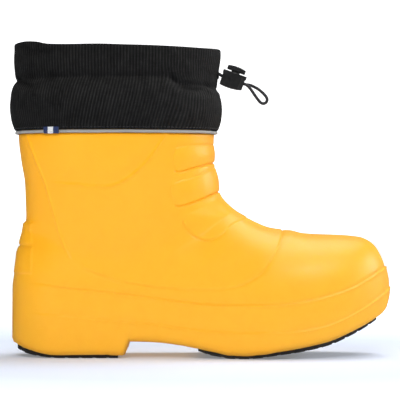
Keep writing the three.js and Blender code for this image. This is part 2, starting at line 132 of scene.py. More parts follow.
def smooth_down(values, spread):
    """Averages each column of a table over its rows with a bell-shaped weight."""
    reach = np.arange(-3 * spread, 3 * spread + 1)
    bell = np.exp(-0.5 * (reach / max(spread, 1)) ** 2)
    padded = np.pad(values, ((3 * spread, 3 * spread), (0, 0)), mode="edge")
    rows = (padded[3 * spread + r:len(padded) - 3 * spread + r] for r in reach)
    return sum(weight * row for weight, row in zip(bell / bell.sum(), rows))


# ---------------------------------------------------------------- the boot's skins, as in the CAD source
HALF_LENGTH = 152.4
SHELL_WALL = 4.6
LINER_GAP = 1.2
LINER_WALL = 3.4
RIM_Z = 178.6
FLANGE_TOP_Z = 188.0      # the thin upright flange that carries the collar
FLANGE_INSET = 2.4
LINER_TOP_Z = 173.0
# the oval that the rim and the collar follow
OVAL_X, OVAL_LENGTH, OVAL_WIDTH, OVAL_POWER = -68.15, 79.0, 52.0, 2.3

top_line = curve_through([
    (-152.4, 57), (-151, 66), (-148.5, 82), (-145, 94), (-138, 103), (-122, 108), (-60, 110), (0, 110.5),
    (20, 112), (32, 110.8), (44, 107.4), (60, 102.3), (90, 98.5), (115, 97.5), (129, 96), (136, 93), (141, 89),
    (146, 81), (149.5, 72), (151.6, 64), (152.4, 58)])
sole_line = curve_through([
    (-152.4, 12), (-150, 9.5), (-140, 4.4), (-128, 2), (-112, 0.8), (-62, 0.8), (-57, 12), (-40, 11.6),
    (-21, 9.8), (11.5, 3.6), (24, 1), (34, 0.8), (46, 1.6), (60, 3.9), (80, 7.6), (100.5, 12.3),
    (120, 20), (137, 28.6), (148, 36.5), (152.4, 48)])
floor_line = curve_through([
    (-150, 28), (-118, 24), (-60, 22), (0, 16), (50, 13.5), (90, 18), (130, 31), (150, 44)])
body_half_width = curve_through([
    (-152, 37.5), (-110, 38.5), (-60, 38.5), (-30, 39.5), (20, 46.5), (60, 53), (85, 54), (152, 52)])
foot_centre = curve_through([(-152, 0), (-60, -1), (0, -3.5), (50, -3.5), (95, 1), (130, 6), (152, 9)])
shaft_front = curve_through([
    (60, 20.5), (100, 20.5), (112, 20), (122, 17.6), (130, 15.6), (137, 14), (147, 12.4), (156, 11),
    (166, 10.4), (178, 10.85), (190, 10.85)])
shaft_back = curve_through([
    (60, -140.4), (100, -140.6), (118, -141.2), (140, -142.2), (157, -145), (178, -147.1), (190, -147.15)])
shaft_half_width = curve_through([
    (60, 34), (90, 38), (110, 41), (130, 44.5), (155, 49.5), (178, 52), (190, 52)])


def plan_half_width(x):
    toe = np.clip((x - 62) / (HALF_LENGTH - 62), 0, None)
    heel = np.clip((-112 - x) / (HALF_LENGTH - 112), 0, None)
    rest = np.where(x > 62, 1 - toe ** 2.5, 1 - heel ** 2.2)
    return body_half_width(x) * np.sign(rest) * np.sqrt(np.abs(rest))


def outer_skin():
    return 0.0, sole_line


def inner_skin(inset, floor_offset):
    return inset, lambda x: floor_line(x) + floor_offset


def foot_square(x, z, skin):
    """The foot's own part in `half_width_square`: widest at a third of its height, with a flat underside."""
    inset, underside = skin
    stretched = x * HALF_LENGTH / (HALF_LENGTH - inset)
    half = plan_half_width(stretched) - inset
    top = top_line(stretched) - inset
    bottom = underside(x)
    widest = bottom + 0.34 * (top - bottom)
    above = np.clip((z - widest) / (top - widest), 0, None)
    below = np.clip((widest - z) / (widest - bottom), 0, 4)
    share = np.where(z >= widest, 1 - above ** 2.6, 1 - 0.12 * below ** 2 - 0.88 * below ** 18)
    return np.where(half <= 0, -half * half, half * half * share)


def shaft_square(x, z, skin):
    """The shaft's own part: level ovals, which fade out inside the foot."""
    inset = skin[0]
    front = shaft_front(z) - inset
    back = shaft_back(z) + inset
    half = shaft_half_width(z) - inset
    t = np.abs(2 * x - front - back) / (front - back)
    fade_below = np.clip(72 - z, 0, None)
    return half * half * (1 - t ** OVAL_POWER) - 2.5 * fade_below ** 2


HEEL_BLEND, ANKLE_BLEND, BLEND_FADE, SOFT_DEPTH = 150, 1500, 700, 200


def half_width_square(x, z, skin):
    """The square of the skin's half width at a place in side view, and negative outside its outline."""
    foot = foot_square(x, z, skin)
    shaft = shaft_square(x, z, skin)
    # foot and shaft run into each other with a fillet, which is widest at the ankle's front and near the skin
    lesser = np.minimum(foot, shaft)
    depth = (lesser + np.hypot(lesser, 2 * SOFT_DEPTH)) / 2 - SOFT_DEPTH
    blend = HEEL_BLEND + ANKLE_BLEND * smoothstep(-110, -20, x) * np.exp(-depth / BLEND_FADE)
    overlap = np.clip(blend - np.abs(foot - shaft), 0, None) / blend
    return np.maximum(foot, shaft) + overlap * overlap * blend / 4


def centre_y(x, z):
    return foot_centre(x) * (1 - smoothstep(70, 140, z))


# Pairs of places in side view, one on the top and front, one on the sole and back. The sections of the
# skins run from one to the other, from the toe to the shell's rim.
SECTION_ENDS = [
    ((152.3, 58), (152.3, 50)), ((150.5, 69), (148.5, 38)), ((146, 81), (138, 27.5)), ((129, 96), (112, 15.8)),
    ((100, 98), (80, 7.6)), ((75, 100), (45, 1)), ((60, 101.5), (20, 2)), ((45, 104), (-10, 7.7)),
    ((32, 108), (-50, 12)), ((28.5, 110), (-66, 0.8)), ((24, 113), (-85, 0.8)), ((19.5, 118), (-130, 2.4)),
    ((17, 123), (-151, 20)), ((15.5, 128), (-152.4, 50)), ((14, 134), (-148.5, 82)),
    ((12.5, 143), (-140.5, 112)), ((11.8, 150), (-140.6, 132)), ((11, 160), (-143, 150)),
    ((10.8, 170), (-146, 167)), ((10.8, RIM_Z), (-147.1, RIM_Z))]
FOOT_PAIRS = 12           # the pairs up to the heel's back, which every skin keeps
CLOSE_STEP = 9            # the step just behind the heel's front edge, where sections stand closer together
CLOSER = 3.5
BEFORE_TOP = 30           # how far ahead of the boot the sections' lines start


def section_lines(count, last=None):
    """Lines in side view as (start, direction), spread along the boot. `last` moves the end line up or down."""
    near, far = (np.array(ends, float) for ends in zip(*SECTION_ENDS))
    if last is not None:
        keep = near[:, 1] < last - 6
        keep[:FOOT_PAIRS] = True
        near = np.vstack([near[keep], [near[-1, 0], last]])
        far = np.vstack([far[keep], [far[-1, 0], last]])
    steps = sum(np.linalg.norm(np.diff(side, axis=0), axis=1) for side in (near, far))
    steps[CLOSE_STEP] *= CLOSER
    place = np.concatenate([[0], np.cumsum(steps)])
    at = np.linspace(0, place[-1], count)
    columns = [curve_through(list(zip(place, column)))(at) for column in (*near.T, *far.T)]
    start, end = np.stack(columns[:2], 1), np.stack(columns[2:], 1)
    direction = unit(end - start)
    return start - BEFORE_TOP * direction, direction


def level_lines(heights):
    """Level lines in side view, from in front of the shaft."""
    heights = np.asarray(heights, float)
    start = np.stack([np.full(len(heights), 60.0), heights], 1)
    return start, np.tile([-1.0, 0.0], (len(heights), 1))


def bisect(low, high, inside):
    """Where `inside` turns false between `low` and `high`."""
    for _ in range(24):
        middle = (low + high) / 2
        kept = inside(middle)
        low = np.where(kept, middle, low)
        high = np.where(kept, high, middle)
    return (low + high) / 2


class Sections:
    """Cross sections of the skins. All skins' points lie on rays from the middle of the outer skin's section."""

    def __init__(self, lines):
        self.start, self.direction = lines
        reach = np.arange(0, 330.0, 1.0)
        inside = self.outer(reach[None, :]) > 0
        first = reach[inside.argmax(1)]
        last = reach[inside.shape[1] - 1 - inside[:, ::-1].argmax(1)]
        near = bisect(first, first - 1, lambda s: self.outer(s[:, None])[:, 0] > 0)
        far = bisect(last, last + 1, lambda s: self.outer(s[:, None])[:, 0] > 0)
        # the middles change smoothly along the boot, also where the sole's outline steps up into the arch
        spread = len(near) // 30
        self.middle = smooth_down((near + far)[:, None] / 2, spread)
        self.reach = smooth_down((far - near)[:, None] / 2, spread)
        self.half = smooth_down(np.sqrt(self.outer(self.middle)), spread)
        x, z = self.place(self.middle)
        self.middle_y = centre_y(x, z)

    def place(self, s):
        return tuple(self.start[:, i:i + 1] + s * self.direction[:, i:i + 1] for i in (0, 1))

    def outer(self, s):
        return half_width_square(*self.place(s), outer_skin())

    def points(self, angles, skin):
        """Points of a skin, for each section at each of its angles (0 is the front, then the outer side)."""
        along = self.reach * np.cos(angles)
        across = -self.half * np.sin(angles)

        def at(k):
            x, z = self.place(self.middle + k * along)
            return x, self.middle_y + k * across, z

        def inside(k):
            x, y, z = at(k)
            return (y - centre_y(x, z)) ** 2 < half_width_square(x, z, skin)

        k = bisect(np.zeros_like(along), np.full_like(along, 2.2), inside)
        return np.stack(at(k), -1)


def row_normals(rows):
    """Outward unit normals of a grid of closed rings."""
    around = np.roll(rows, -1, 1) - np.roll(rows, 1, 1)
    along = np.gradient(rows, axis=0)
    normal = unit(np.cross(along, around))
    outward = rows - rows.mean(1, keepdims=True)
    return normal * np.sign((normal * outward).sum(2).mean())


# ---------------------------------------------------------------- lines and pads in relief
def smooth_line(points, steps=8, closed=False):
    """A polyline along a Catmull-Rom curve through the points."""
    p = np.array(points, float)
    if closed:
        p = np.vstack([p[-1], p, p[:2]])
    else:
        p = np.vstack([2 * p[0] - p[1], p, 2 * p[-1] - p[-2]])
    t = np.arange(steps)[:, None] / steps
    parts = []
    for a, b, c, d in zip(p[:-3], p[1:-2], p[2:-1], p[3:]):
        parts.append(0.5 * (2 * b + (c - a) * t + (2 * a - 5 * b + 4 * c - d) * t ** 2
                            + (3 * b - a - 3 * c + d) * t ** 3))
    return np.vstack([*parts, p[-2:-1]])


def line_field(x, z, line):
    """Signed distance to a polyline (positive on its left) and the share of its length at the nearest point."""
    best = np.full(x.shape, 1e9)
    side = np.zeros(x.shape)
    share = np.zeros(x.shape)
    count = len(line) - 1
    for i, (a, b) in enumerate(zip(line[:-1], line[1:])):
        d = b - a
        t = np.clip(((x - a[0]) * d[0] + (z - a[1]) * d[1]) / (d @ d), 0, 1)
        dx, dz = x - a[0] - t * d[0], z - a[1] - t * d[1]
        gap = np.hypot(dx, dz)
        near = gap < best
        best = np.where(near, gap, best)
        side = np.where(near, d[0] * dz - d[1] * dx, side)
        share = np.where(near, (i + t) / count, share)
    return best * np.where(side >= 0, 1, -1), share


def region_field(x, z, outline):
    """Distance to a closed outline, positive inside."""
    gap = np.abs(line_field(x, z, outline)[0])
    inside = np.zeros(x.shape, bool)
    for a, b in zip(outline[:-1], outline[1:]):
        crosses = (a[1] > z) != (b[1] > z)
        level = (z - a[1]) / np.where(b[1] == a[1], 1, b[1] - a[1])
        inside ^= crosses & (x < a[0] + level * (b[0] - a[0]))
    return np.where(inside, gap, -gap)


def bead(distance, width):
    """A bell-shaped rise: 1 at no distance, next to nothing at twice the width."""
    return np.exp(-(distance / width) ** 2)


BACK_RIDGE = smooth_line([
    (-138.4, 178), (-131, 158), (-123.4, 139.3), (-117, 117), (-111.6, 98.1), (-105.3, 82.2), (-101, 76)])
BAND_LINE = smooth_line([
    (-124, 139.4), (-98, 138), (-80, 136.4), (-71.6, 136.8), (-60.5, 141), (-50, 148.8), (-41, 158),
    (-32.1, 170.7), (-27, 179)])
VAMP_LINE = smooth_line([
    (-101, 79), (-95.6, 74.3), (-83.7, 68), (-56, 60.1), (-22, 56), (11.2, 55.7), (30.9, 58.8), (38.8, 62.7),
    (48.3, 69), (54.8, 78.3), (60.7, 87.6), (64.7, 100), (65.5, 106)])
# the pads over the front of the ankle, from the top down, and the creases under them
PAD_1 = smooth_line([
    (-20.6, 153), (-20.8, 163), (-16, 167.6), (9, 169.6), (26, 171), (26, 161), (9, 155.8), (-8, 151),
    (-17.5, 148.4)], closed=True)
PAD_2 = smooth_line([
    (-21.5, 127), (-22.4, 136.5), (-17, 140.4), (-2, 144.6), (9, 150), (26, 158), (26, 138), (13, 132.3),
    (2, 127.4), (-8.6, 123.4), (-17.5, 121.4)], closed=True)
PAD_3 = smooth_line([
    (-13.4, 108), (-12.4, 114), (-4.6, 117), (5, 121.6), (14, 127.4), (30, 137), (44, 118), (25.1, 106.5),
    (16.9, 98.7), (9.7, 94.8), (1.8, 94.8), (-7, 99.6)], closed=True)
PAD_3_DOME = (14, 113, 13)      # centre and width
CREASE_1 = smooth_line([(-21, 149), (-17, 147.6), (-8, 150), (9, 155.2), (26, 160.4)])
CREASE_2 = smooth_line([(-21, 122), (-17, 120.6), (-8.6, 122.8), (2, 126.8), (13, 131.7), (26, 137.4)])
CREASE_3 = smooth_line([
    (-11.6, 113), (-13.4, 107), (-7.4, 99.2), (1.8, 94.4), (9.7, 94.6), (17, 98.6), (25, 105.6)])
# the sole's two ledges: their height, step, bulge under the edge and dip over it
LEDGES = [
    (curve_through([
        (-153, 60.5), (-126.8, 58.7), (-103.4, 55.6), (-71.2, 52.5), (-40, 48.5), (15.2, 43), (54.6, 43),
        (78, 45.4), (114.1, 54), (141.4, 67.4), (153, 74)]), 0.8, 0.55, 0.35),
    (curve_through([
        (-153, 37), (-122.9, 35.1), (-103.4, 33.5), (-71.2, 30.3), (-40, 28), (-0.6, 23.2), (31.2, 21.3),
        (62.4, 21.7), (94.1, 25.6), (114.1, 32.7), (145.3, 50), (153, 56)]), 0.55, 0.45, 0.25)]
# the kick-off spur at the back of the heel, and the strip with a step that covers it
HEEL_SPUR = curve_through([
    (60, 0), (78, 0), (84, 0.5), (88, 0), (91, 0.3), (96, 1.4), (103, 2.8), (107, 2.4), (109.5, 0.4),
    (114, 0), (180, 0)])
HEEL_STRIP_X = -134.6
HEEL_STRIP_LOW, HEEL_STEP_Z, HEEL_STRIP_TOP = 67.5, 89.4, 107.5
SADDLE_X, SADDLE_WIDTH = 72.5, 8.5
# the heel's front face, which the sections cross in one step
HEEL_FRONT = np.array([(-63.5, 2.0), (-59.5, 6.5), (-57, 11.5)])


def ledge_depth(ledge, x, z):
    """How far a place lies under a ledge of the sole, square to the ledge."""
    return (ledge(x) - z) / np.hypot(1, 0.45 * smoothstep(95, 140, x))


def relief(x, z):
    """How far the moulded surface stands out from the plain shell, at a place in side view."""
    height = np.zeros(x.shape)
    # the thick foxing of the sole, in two ledges
    ends = smoothstep(-139, -118, x)
    for ledge, step, bulge, dip in LEDGES:
        below = ledge_depth(ledge, x, z)
        height += ends * (step * smoothstep(-0.5, 0.6, below) + bulge * bead(below - 0.7, 0.8)
                          - dip * bead(below + 1.1, 0.9))
    # the raised line from the rim to the heel
    gap, share = line_field(x, z, BACK_RIDGE)
    behind = smoothstep(0.8, -0.8, gap) * smoothstep(-14, -2, gap)
    height += smoothstep(1, 0.8, share) * (0.85 * bead(gap, 0.9) + 0.35 * behind)
    # the line round the shaft's side
    gap, share = line_field(x, z, BAND_LINE)
    within = smoothstep(-0.8, 0.8, gap) * smoothstep(9, 2, gap)
    height += smoothstep(0, 0.1, share) * (0.85 * bead(gap, 0.9) - 0.45 * within)
    # the vamp panel's edge
    gap, share = line_field(x, z, VAMP_LINE)
    edge = smoothstep(0.03, 0.16, share) * (1 - 0.6 * bead(share - 0.42, 0.07))
    height += edge * (0.65 * smoothstep(-0.7, 0.7, gap) * smoothstep(16, 2, gap) - 0.4 * bead(gap + 0.8, 0.8))
    # three pads over the front of the ankle
    for outline, rise, span in ((PAD_1, 0.9, 7.5), (PAD_2, 1.0, 8.5)):
        gap = region_field(x, z, outline)
        height += 0.35 * smoothstep(-0.7, 0.7, gap) - 0.25 * bead(gap + 0.6, 0.8)
        height += rise * np.sin(math.pi / 2 * np.clip(gap / span, 0, 1)) ** 1.3
    # the lowest pad has no upper edge
    gap = region_field(x, z, PAD_3)
    under = -line_field(x, z, CREASE_2)[0]
    height += (0.35 * smoothstep(-0.7, 0.7, gap) - 0.25 * bead(gap + 0.6, 0.8)) * smoothstep(4, 15, under)
    dome_x, dome_z, dome_width = PAD_3_DOME
    height += 0.9 * bead(np.hypot(x - dome_x, z - dome_z), dome_width)
    for line in (CREASE_1, CREASE_2):
        gap, share = line_field(x, z, line)
        height -= 1.0 * bead(gap, 0.8) * smoothstep(0, 0.12, share)
    gap, share = line_field(x, z, CREASE_3)
    height -= 0.6 * bead(gap, 0.8) * smoothstep(0, 0.12, share) * smoothstep(1, 0.5, share)
    # the heel's back strip with its step
    back = smoothstep(HEEL_STRIP_X + 0.6, HEEL_STRIP_X - 0.6, x)
    strip = smoothstep(HEEL_STRIP_LOW - 0.8, HEEL_STRIP_LOW + 0.8, z)
    strip = strip * smoothstep(HEEL_STRIP_TOP + 0.8, HEEL_STRIP_TOP - 0.8, z)
    groove = bead(z - HEEL_STEP_Z, 1)
    height += strip * (back * (0.6 - 1.2 * groove) + 0.3 * bead(x - HEEL_STRIP_X + 0.5, 0.8) * (1 - groove))
    height += smoothstep(-126, -142, x) * HEEL_SPUR(z)
    # a low saddle across the instep, in front of the vamp's edge
    height += 1.1 * bead((x - SADDLE_X) / SADDLE_WIDTH, 1) ** 2 * smoothstep(86, 99, z)
    return height


def relief_gap(x, z):
    """How far a place in side view is from the nearest line in relief."""
    lines = (BACK_RIDGE, BAND_LINE, VAMP_LINE, PAD_1, PAD_2, PAD_3, CREASE_1, CREASE_2)
    gaps = [line_field(x, z, line)[0] for line in lines] + [ledge_depth(ledge, x, z) for ledge, *_ in LEDGES]
    over, under = np.clip(z - HEEL_STRIP_TOP, 0, None), np.clip(HEEL_STRIP_LOW - z, 0, None)
    gaps.append(np.hypot(x - HEEL_STRIP_X, over + under))
    for level in (HEEL_STRIP_LOW, HEEL_STEP_Z, HEEL_STRIP_TOP):
        gaps.append(np.hypot(z - level, np.clip(x - HEEL_STRIP_X, 0, None)))
    return np.where(z < sole_line(x) + 3, 99, np.abs(gaps).min(0))


def heel_front_gap(x, z):
    return np.abs(line_field(x, z, HEEL_FRONT)[0])


def outer_gap(points):
    """Positive inside the plain outer skin, zero on it."""
    x, y, z = np.moveaxis(points, -1, 0)
    return half_width_square(x, z, outer_skin()) - (y - centre_y(x, z)) ** 2


def outer_slope(points):
    """How fast `outer_gap` grows along each axis."""
    steps = 0.05 * np.eye(3)
    return np.stack([outer_gap(points + step) - outer_gap(points - step) for step in steps], -1) / 0.1


LONGEST_MOVE = 1.2


def onto_outer_skin(points, rounds):
    """Points moved square to the plain outer skin until they lie on it, a short way in each round."""
    for _ in range(rounds):
        slope = outer_slope(points)
        steepness = np.linalg.norm(slope, axis=1)
        move = np.clip(outer_gap(points) / steepness, -LONGEST_MOVE, LONGEST_MOVE)
        points = points - (move / steepness)[:, None] * slope
    return points


# ---------------------------------------------------------------- meshes
def link(name, mesh):
    piece = bpy.data.objects.new(name, mesh)
    scene.collection.objects.link(piece)
    return piece


def mesh_from(name, points, faces, smooth=True):
    mesh = bpy.data.meshes.new(name)
    mesh.from_pydata((np.asarray(points) * MM).tolist(), [], faces)
    work = bmesh.new()
    work.from_mesh(mesh)
    bmesh.ops.recalc_face_normals(work, faces=work.faces)
    work.to_mesh(mesh)
    work.free()
    mesh.polygons.foreach_set("use_smooth", [smooth] * len(mesh.polygons))
    return link(name, mesh)


def ring_mesh(name, rows, closed=False, caps=False):
    """A skin over rings of points. `closed` joins the last ring to the first, `caps` closes both ends."""
    count, around = rows.shape[:2]
    index = np.arange(count * around).reshape(count, around)
    low = index if closed else index[:-1]
    high = np.roll(index, -1, 0) if closed else index[1:]
    quads = np.stack([low, np.roll(low, -1, 1), np.roll(high, -1, 1), high], -1).reshape(-1, 4).tolist()
    points = rows.reshape(-1, 3)
    if caps:
        for ring in (index[0], index[-1]):
            hub = len(points)
            points = np.vstack([points, points[ring].mean(0)])
            quads += [[a, b, hub] for a, b in zip(ring.tolist(), np.roll(ring, -1).tolist())]
    return mesh_from(name, points, quads)


def noise(points, scale, seed, octaves=3):
    """Smooth repeatable noise, about -1 to 1, made of turned sine waves."""
    rng = np.random.default_rng(seed)
    total = np.zeros(points.shape[:-1])
    for octave in range(octaves):
        for _ in range(5):
            direction = rng.normal(size=3)
            direction /= np.linalg.norm(direction)
            wave = points @ direction * (2 * math.pi / scale * 2 ** octave * rng.uniform(0.7, 1.4))
            total += np.sin(wave + rng.uniform(0, 2 * math.pi)) * 0.5 ** octave
    return total / 4.5


# ---------------------------------------------------------------- materials
class Paint:
    """A material and short calls for its node tree. Numbers and colours can stand in for sockets."""

    def __init__(self, name, colour, roughness, **inputs):
        self.made = bpy.data.materials.new(name)
        self.made.use_nodes = True
        self.tree = self.made.node_tree
        self.shader = self.tree.nodes["Principled BSDF"]
        self.shader.inputs["Base Color"].default_value = (*colour, 1)
        self.shader.inputs["Roughness"].default_value = roughness
        for key, value in inputs.items():
            self.shader.inputs[key.replace("_", " ")].default_value = value
        self.position = self.add("ShaderNodeTexCoord").outputs["Object"]

    def add(self, kind, **settings):
        node = self.tree.nodes.new(kind)
        for key, value in settings.items():
            setattr(node, key, value)
        return node

    def feed(self, socket, source):
        """Sets a socket from a number or a colour, or links it from another socket."""
        if isinstance(source, tuple):
            socket.default_value = (*source, 1)
        elif isinstance(source, (int, float)):
            socket.default_value = source
        else:
            self.tree.links.new(source, socket)

    def axis(self, name):
        split = self.add("ShaderNodeSeparateXYZ")
        self.feed(split.inputs[0], self.position)
        return split.outputs[name]

    def texture(self, kind, scale, stretch, **settings):
        mapping = self.add("ShaderNodeMapping")
        mapping.inputs["Scale"].default_value = stretch
        self.feed(mapping.inputs["Vector"], self.position)
        node = self.add(kind, **settings)
        node.inputs["Scale"].default_value = scale
        self.feed(node.inputs["Vector"], mapping.outputs[0])
        return node

    def noise(self, scale, detail=3.0, roughness=0.55, stretch=(1, 1, 1)):
        node = self.texture("ShaderNodeTexNoise", scale, stretch)
        node.inputs["Detail"].default_value = detail
        node.inputs["Roughness"].default_value = roughness
        return node.outputs["Fac"]

    def cells(self, scale, feature):
        return self.texture("ShaderNodeTexVoronoi", scale, (1, 1, 1), feature=feature).outputs["Distance"]

    def math(self, operation, a, b=0.0):
        node = self.add("ShaderNodeMath", operation=operation)
        self.feed(node.inputs[0], a)
        self.feed(node.inputs[1], b)
        return node.outputs[0]

    def span(self, source, low, high, to_low, to_high):
        node = self.add("ShaderNodeMapRange", clamp=True)
        for socket, number in zip(node.inputs, (source, low, high, to_low, to_high)):
            self.feed(socket, number)
        return node.outputs[0]

    def mix(self, share, under, over):
        node = self.add("ShaderNodeMix", data_type="RGBA")
        for index, source in ((0, share), (6, under), (7, over)):
            self.feed(node.inputs[index], source)
        return node.outputs[2]

    def bump(self, height, distance, strength, under=None):
        node = self.add("ShaderNodeBump")
        node.inputs["Strength"].default_value = strength
        node.inputs["Distance"].default_value = distance
        self.feed(node.inputs["Height"], height)
        if under is not None:
            self.feed(node.inputs["Normal"], under)
        return node.outputs[0]

    def finish(self, colour, roughness, normal):
        for key, source in (("Base Color", colour), ("Roughness", roughness), ("Normal", normal)):
            if source is not None:
                self.feed(self.shader.inputs[key], source)
        return self.made


def eva():
    paint = Paint("eva", (0.94, 0.405, 0.008), 0.44, Specular_IOR_Level=0.42, Subsurface_Weight=0.1,
                  Subsurface_Scale=0.004, Subsurface_Radius=(1.0, 0.45, 0.1))
    height = paint.axis("Z")
    broad, mottle = paint.noise(14, 2), paint.noise(95, 4, 0.6)
    colour = paint.mix(paint.span(broad, 0.35, 0.65, 0, 0.5), (0.955, 0.4, 0.005), (0.94, 0.415, 0.009))
    # painted light: paler towards the sole, standing in for the light the floor throws up onto the lower boot
    colour = paint.mix(paint.span(height, 0.02, 0.17, 0.9, 0), colour, (0.96, 0.455, 0.02))
    colour = paint.mix(paint.span(mottle, 0.42, 0.72, 0, 0.22), colour, (0.9, 0.36, 0.005))
    # painted shade under the collar's overhang: darker from just below the rim upward
    colour = paint.mix(paint.span(height, 0.175, 0.179, 0, 0.5), colour, (0.78, 0.3, 0.004))
    normal = paint.bump(paint.cells(820, "SMOOTH_F1"), 0.00018, 0.35)
    normal = paint.bump(paint.noise(1500, 2, 0.6), 0.00012, 0.5, normal)
    normal = paint.bump(paint.noise(60, 3), 0.0006, 0.25, normal)
    return paint.finish(colour, paint.span(paint.noise(220, 4), 0.3, 0.7, 0.39, 0.49), normal)


def rubber():
    paint = Paint("tread_rubber", (0.018, 0.018, 0.019), 0.62, Specular_IOR_Level=0.4)
    dust = paint.noise(60, 4, 0.6)
    colour = paint.mix(paint.span(dust, 0.5, 0.75, 0, 0.5), (0.015, 0.015, 0.016), (0.05, 0.047, 0.043))
    return paint.finish(colour, paint.span(dust, 0.4, 0.7, 0.55, 0.75),
                        paint.bump(paint.noise(900, 4, 0.7), 0.0002, 0.5))


def cloth(name, colour, edge, scale, sheen=0.3, painted_rib_light=False):
    """A plain weave of uneven threads, which can be multiplied by the mesh's rib attribute: painted shade in the
    grooves and creases, painted highlight on the crests.
    """
    paint = Paint(name, colour, 0.9, Specular_IOR_Level=0.25, Sheen_Weight=sheen, Sheen_Roughness=0.45)
    warp, weft = (paint.noise(scale, 2, 0.5, stretch) for stretch in ((1, 1, 0.12), (0.12, 0.12, 1)))
    weave = paint.math("MAXIMUM", warp, weft)
    slub = paint.noise(scale / 14, 4, 0.6)
    shade = paint.math("ADD", paint.span(weave, 0.45, 0.75, 0, 0.7), paint.span(slub, 0.35, 0.7, -0.15, 0.3))
    if painted_rib_light:
        # painted light and shade of the collar's ribs and folds, carried by the mesh
        rib = paint.add("ShaderNodeAttribute", attribute_name="rib").outputs["Fac"]
        shade = paint.math("MULTIPLY", paint.math("ADD", shade, 0.35), rib)
    normal = paint.bump(slub, 0.0005, 0.4, paint.bump(weave, 0.0003, 0.6))
    return paint.finish(paint.mix(shade, colour, edge), None, normal)


def felt():
    paint = Paint("felt", (0.2, 0.2, 0.215), 0.95, Specular_IOR_Level=0.15, Sheen_Weight=0.5,
                  Sheen_Roughness=0.6)
    fibre, cross = paint.noise(500, 6, 0.75, (1, 0.35, 1)), paint.noise(430, 6, 0.75, (0.3, 1, 1))
    tangle = paint.math("MAXIMUM", fibre, cross)
    colour = paint.mix(paint.span(tangle, 0.4, 0.7, 0, 1), (0.115, 0.115, 0.125), (0.34, 0.34, 0.35))
    normal = paint.bump(paint.noise(90, 3), 0.001, 0.4, paint.bump(tangle, 0.0009, 0.8))
    return paint.finish(colour, None, normal)


def piping_satin():
    paint = Paint("piping", (0.29, 0.28, 0.255), 0.42, Specular_IOR_Level=0.5, Sheen_Weight=0.15)
    weave = paint.noise(1500, 2, 0.5, (1, 1, 0.3))
    soil = paint.noise(45, 4, 0.6)
    colour = paint.mix(paint.span(soil, 0.35, 0.7, 0, 0.6), (0.32, 0.31, 0.285), (0.23, 0.22, 0.2))
    return paint.finish(colour, paint.span(weave, 0.3, 0.7, 0.34, 0.5), paint.bump(weave, 0.00015, 0.5))


def ribbon():
    """A navy ribbon with one white stripe down its middle, striped along the boot."""
    paint = Paint("ribbon", (0.02, 0.035, 0.12), 0.7, Specular_IOR_Level=0.3, Sheen_Weight=0.2)
    low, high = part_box("side_tab")
    across = paint.span(paint.axis("X"), low.x, high.x, 0, 1)
    wander = paint.math("MULTIPLY", paint.math("SUBTRACT", paint.noise(1400, 2), 0.5), 0.07)
    place = paint.math("ABSOLUTE", paint.math("SUBTRACT", paint.math("ADD", across, wander), 0.5))
    colour = paint.mix(paint.math("LESS_THAN", place, 0.17), (0.016, 0.03, 0.1), (0.72, 0.72, 0.7))
    rib = paint.noise(2600, 2, 0.5, (0.15, 0.15, 1))
    colour = paint.mix(paint.span(rib, 0.4, 0.65, 0.3, 0), colour, (0.01, 0.01, 0.02))
    return paint.finish(colour, None, paint.bump(rib, 0.0002, 0.7))


def elastic():
    paint = Paint("elastic_cord", (0.02, 0.019, 0.02), 0.7, Specular_IOR_Level=0.35, Sheen_Weight=0.25)
    braid = paint.cells(1500, "F1")
    colour = paint.mix(paint.span(braid, 0.1, 0.6, 0, 1), (0.05, 0.048, 0.05), (0.008, 0.008, 0.009))
    normal = paint.bump(paint.math("SUBTRACT", 1.0, braid), 0.0003, 0.8)
    return paint.finish(colour, None, paint.bump(paint.noise(2600, 2, 0.6), 0.0001, 0.5, normal))


def plastic():
    paint = Paint("lock_plastic", (0.01, 0.01, 0.01), 0.34, Specular_IOR_Level=0.45, Coat_Weight=0.3,
                  Coat_Roughness=0.22)
    wear = paint.noise(180, 4, 0.65)
    colour = paint.mix(paint.span(wear, 0.45, 0.75, 0, 0.5), (0.006, 0.006, 0.006), (0.017, 0.0165, 0.016))
    return paint.finish(colour, paint.span(wear, 0.35, 0.7, 0.3, 0.46),
                        paint.bump(paint.noise(1900, 3, 0.6), 0.00008, 0.5))


def metal(name, colour, roughness, metallic):
    paint = Paint(name, colour, roughness, Metallic=metallic)
    brush = paint.noise(1700, 3, 0.6, (1, 1, 0.1))
    shade = paint.mix(paint.span(brush, 0.35, 0.7, 0, 0.6), colour, tuple(0.7 * c for c in colour))
    return paint.finish(shade, paint.span(brush, 0.3, 0.7, roughness - 0.08, roughness + 0.1),
                        paint.bump(brush, 0.00004, 0.4))


def foam():
    paint = Paint("footbed_foam", (0.06, 0.065, 0.075), 0.92, Specular_IOR_Level=0.2, Sheen_Weight=0.4)
    pile = paint.noise(1100, 3, 0.6)
    colour = paint.mix(paint.span(pile, 0.35, 0.7, 0, 1), (0.04, 0.044, 0.052), (0.1, 0.105, 0.12))
    colour = paint.mix(paint.span(paint.noise(40, 3), 0.4, 0.7, 0, 0.3), colour, (0.13, 0.13, 0.14))
    return paint.finish(colour, None, paint.bump(pile, 0.0004, 0.7))


MATERIALS = {
    "eva": eva(),
    "tread_rubber": rubber(),
    "felt": felt(),
    "binding_tape": cloth("binding_tape", (0.018, 0.018, 0.02), (0.05, 0.05, 0.055), 1700),
    "footbed_foam": foam(),
    "collar_fabric": cloth("collar_fabric", (0.0012, 0.0011, 0.0011), (0.019, 0.0184, 0.0172), 1500, 0.02, True),
    "lining_fabric": cloth("lining_fabric", (0.02, 0.02, 0.022), (0.048, 0.048, 0.052), 1300),
    "piping": piping_satin(),
    "ribbon": ribbon(),
    "elastic_cord": elastic(),
    "eyelet_metal": metal("eyelet_metal", (0.03, 0.03, 0.031), 0.38, 0.4),
    "lock_plastic": plastic(),
    "spring_steel": metal("spring_steel", (0.5, 0.5, 0.52), 0.3, 1.0),
}


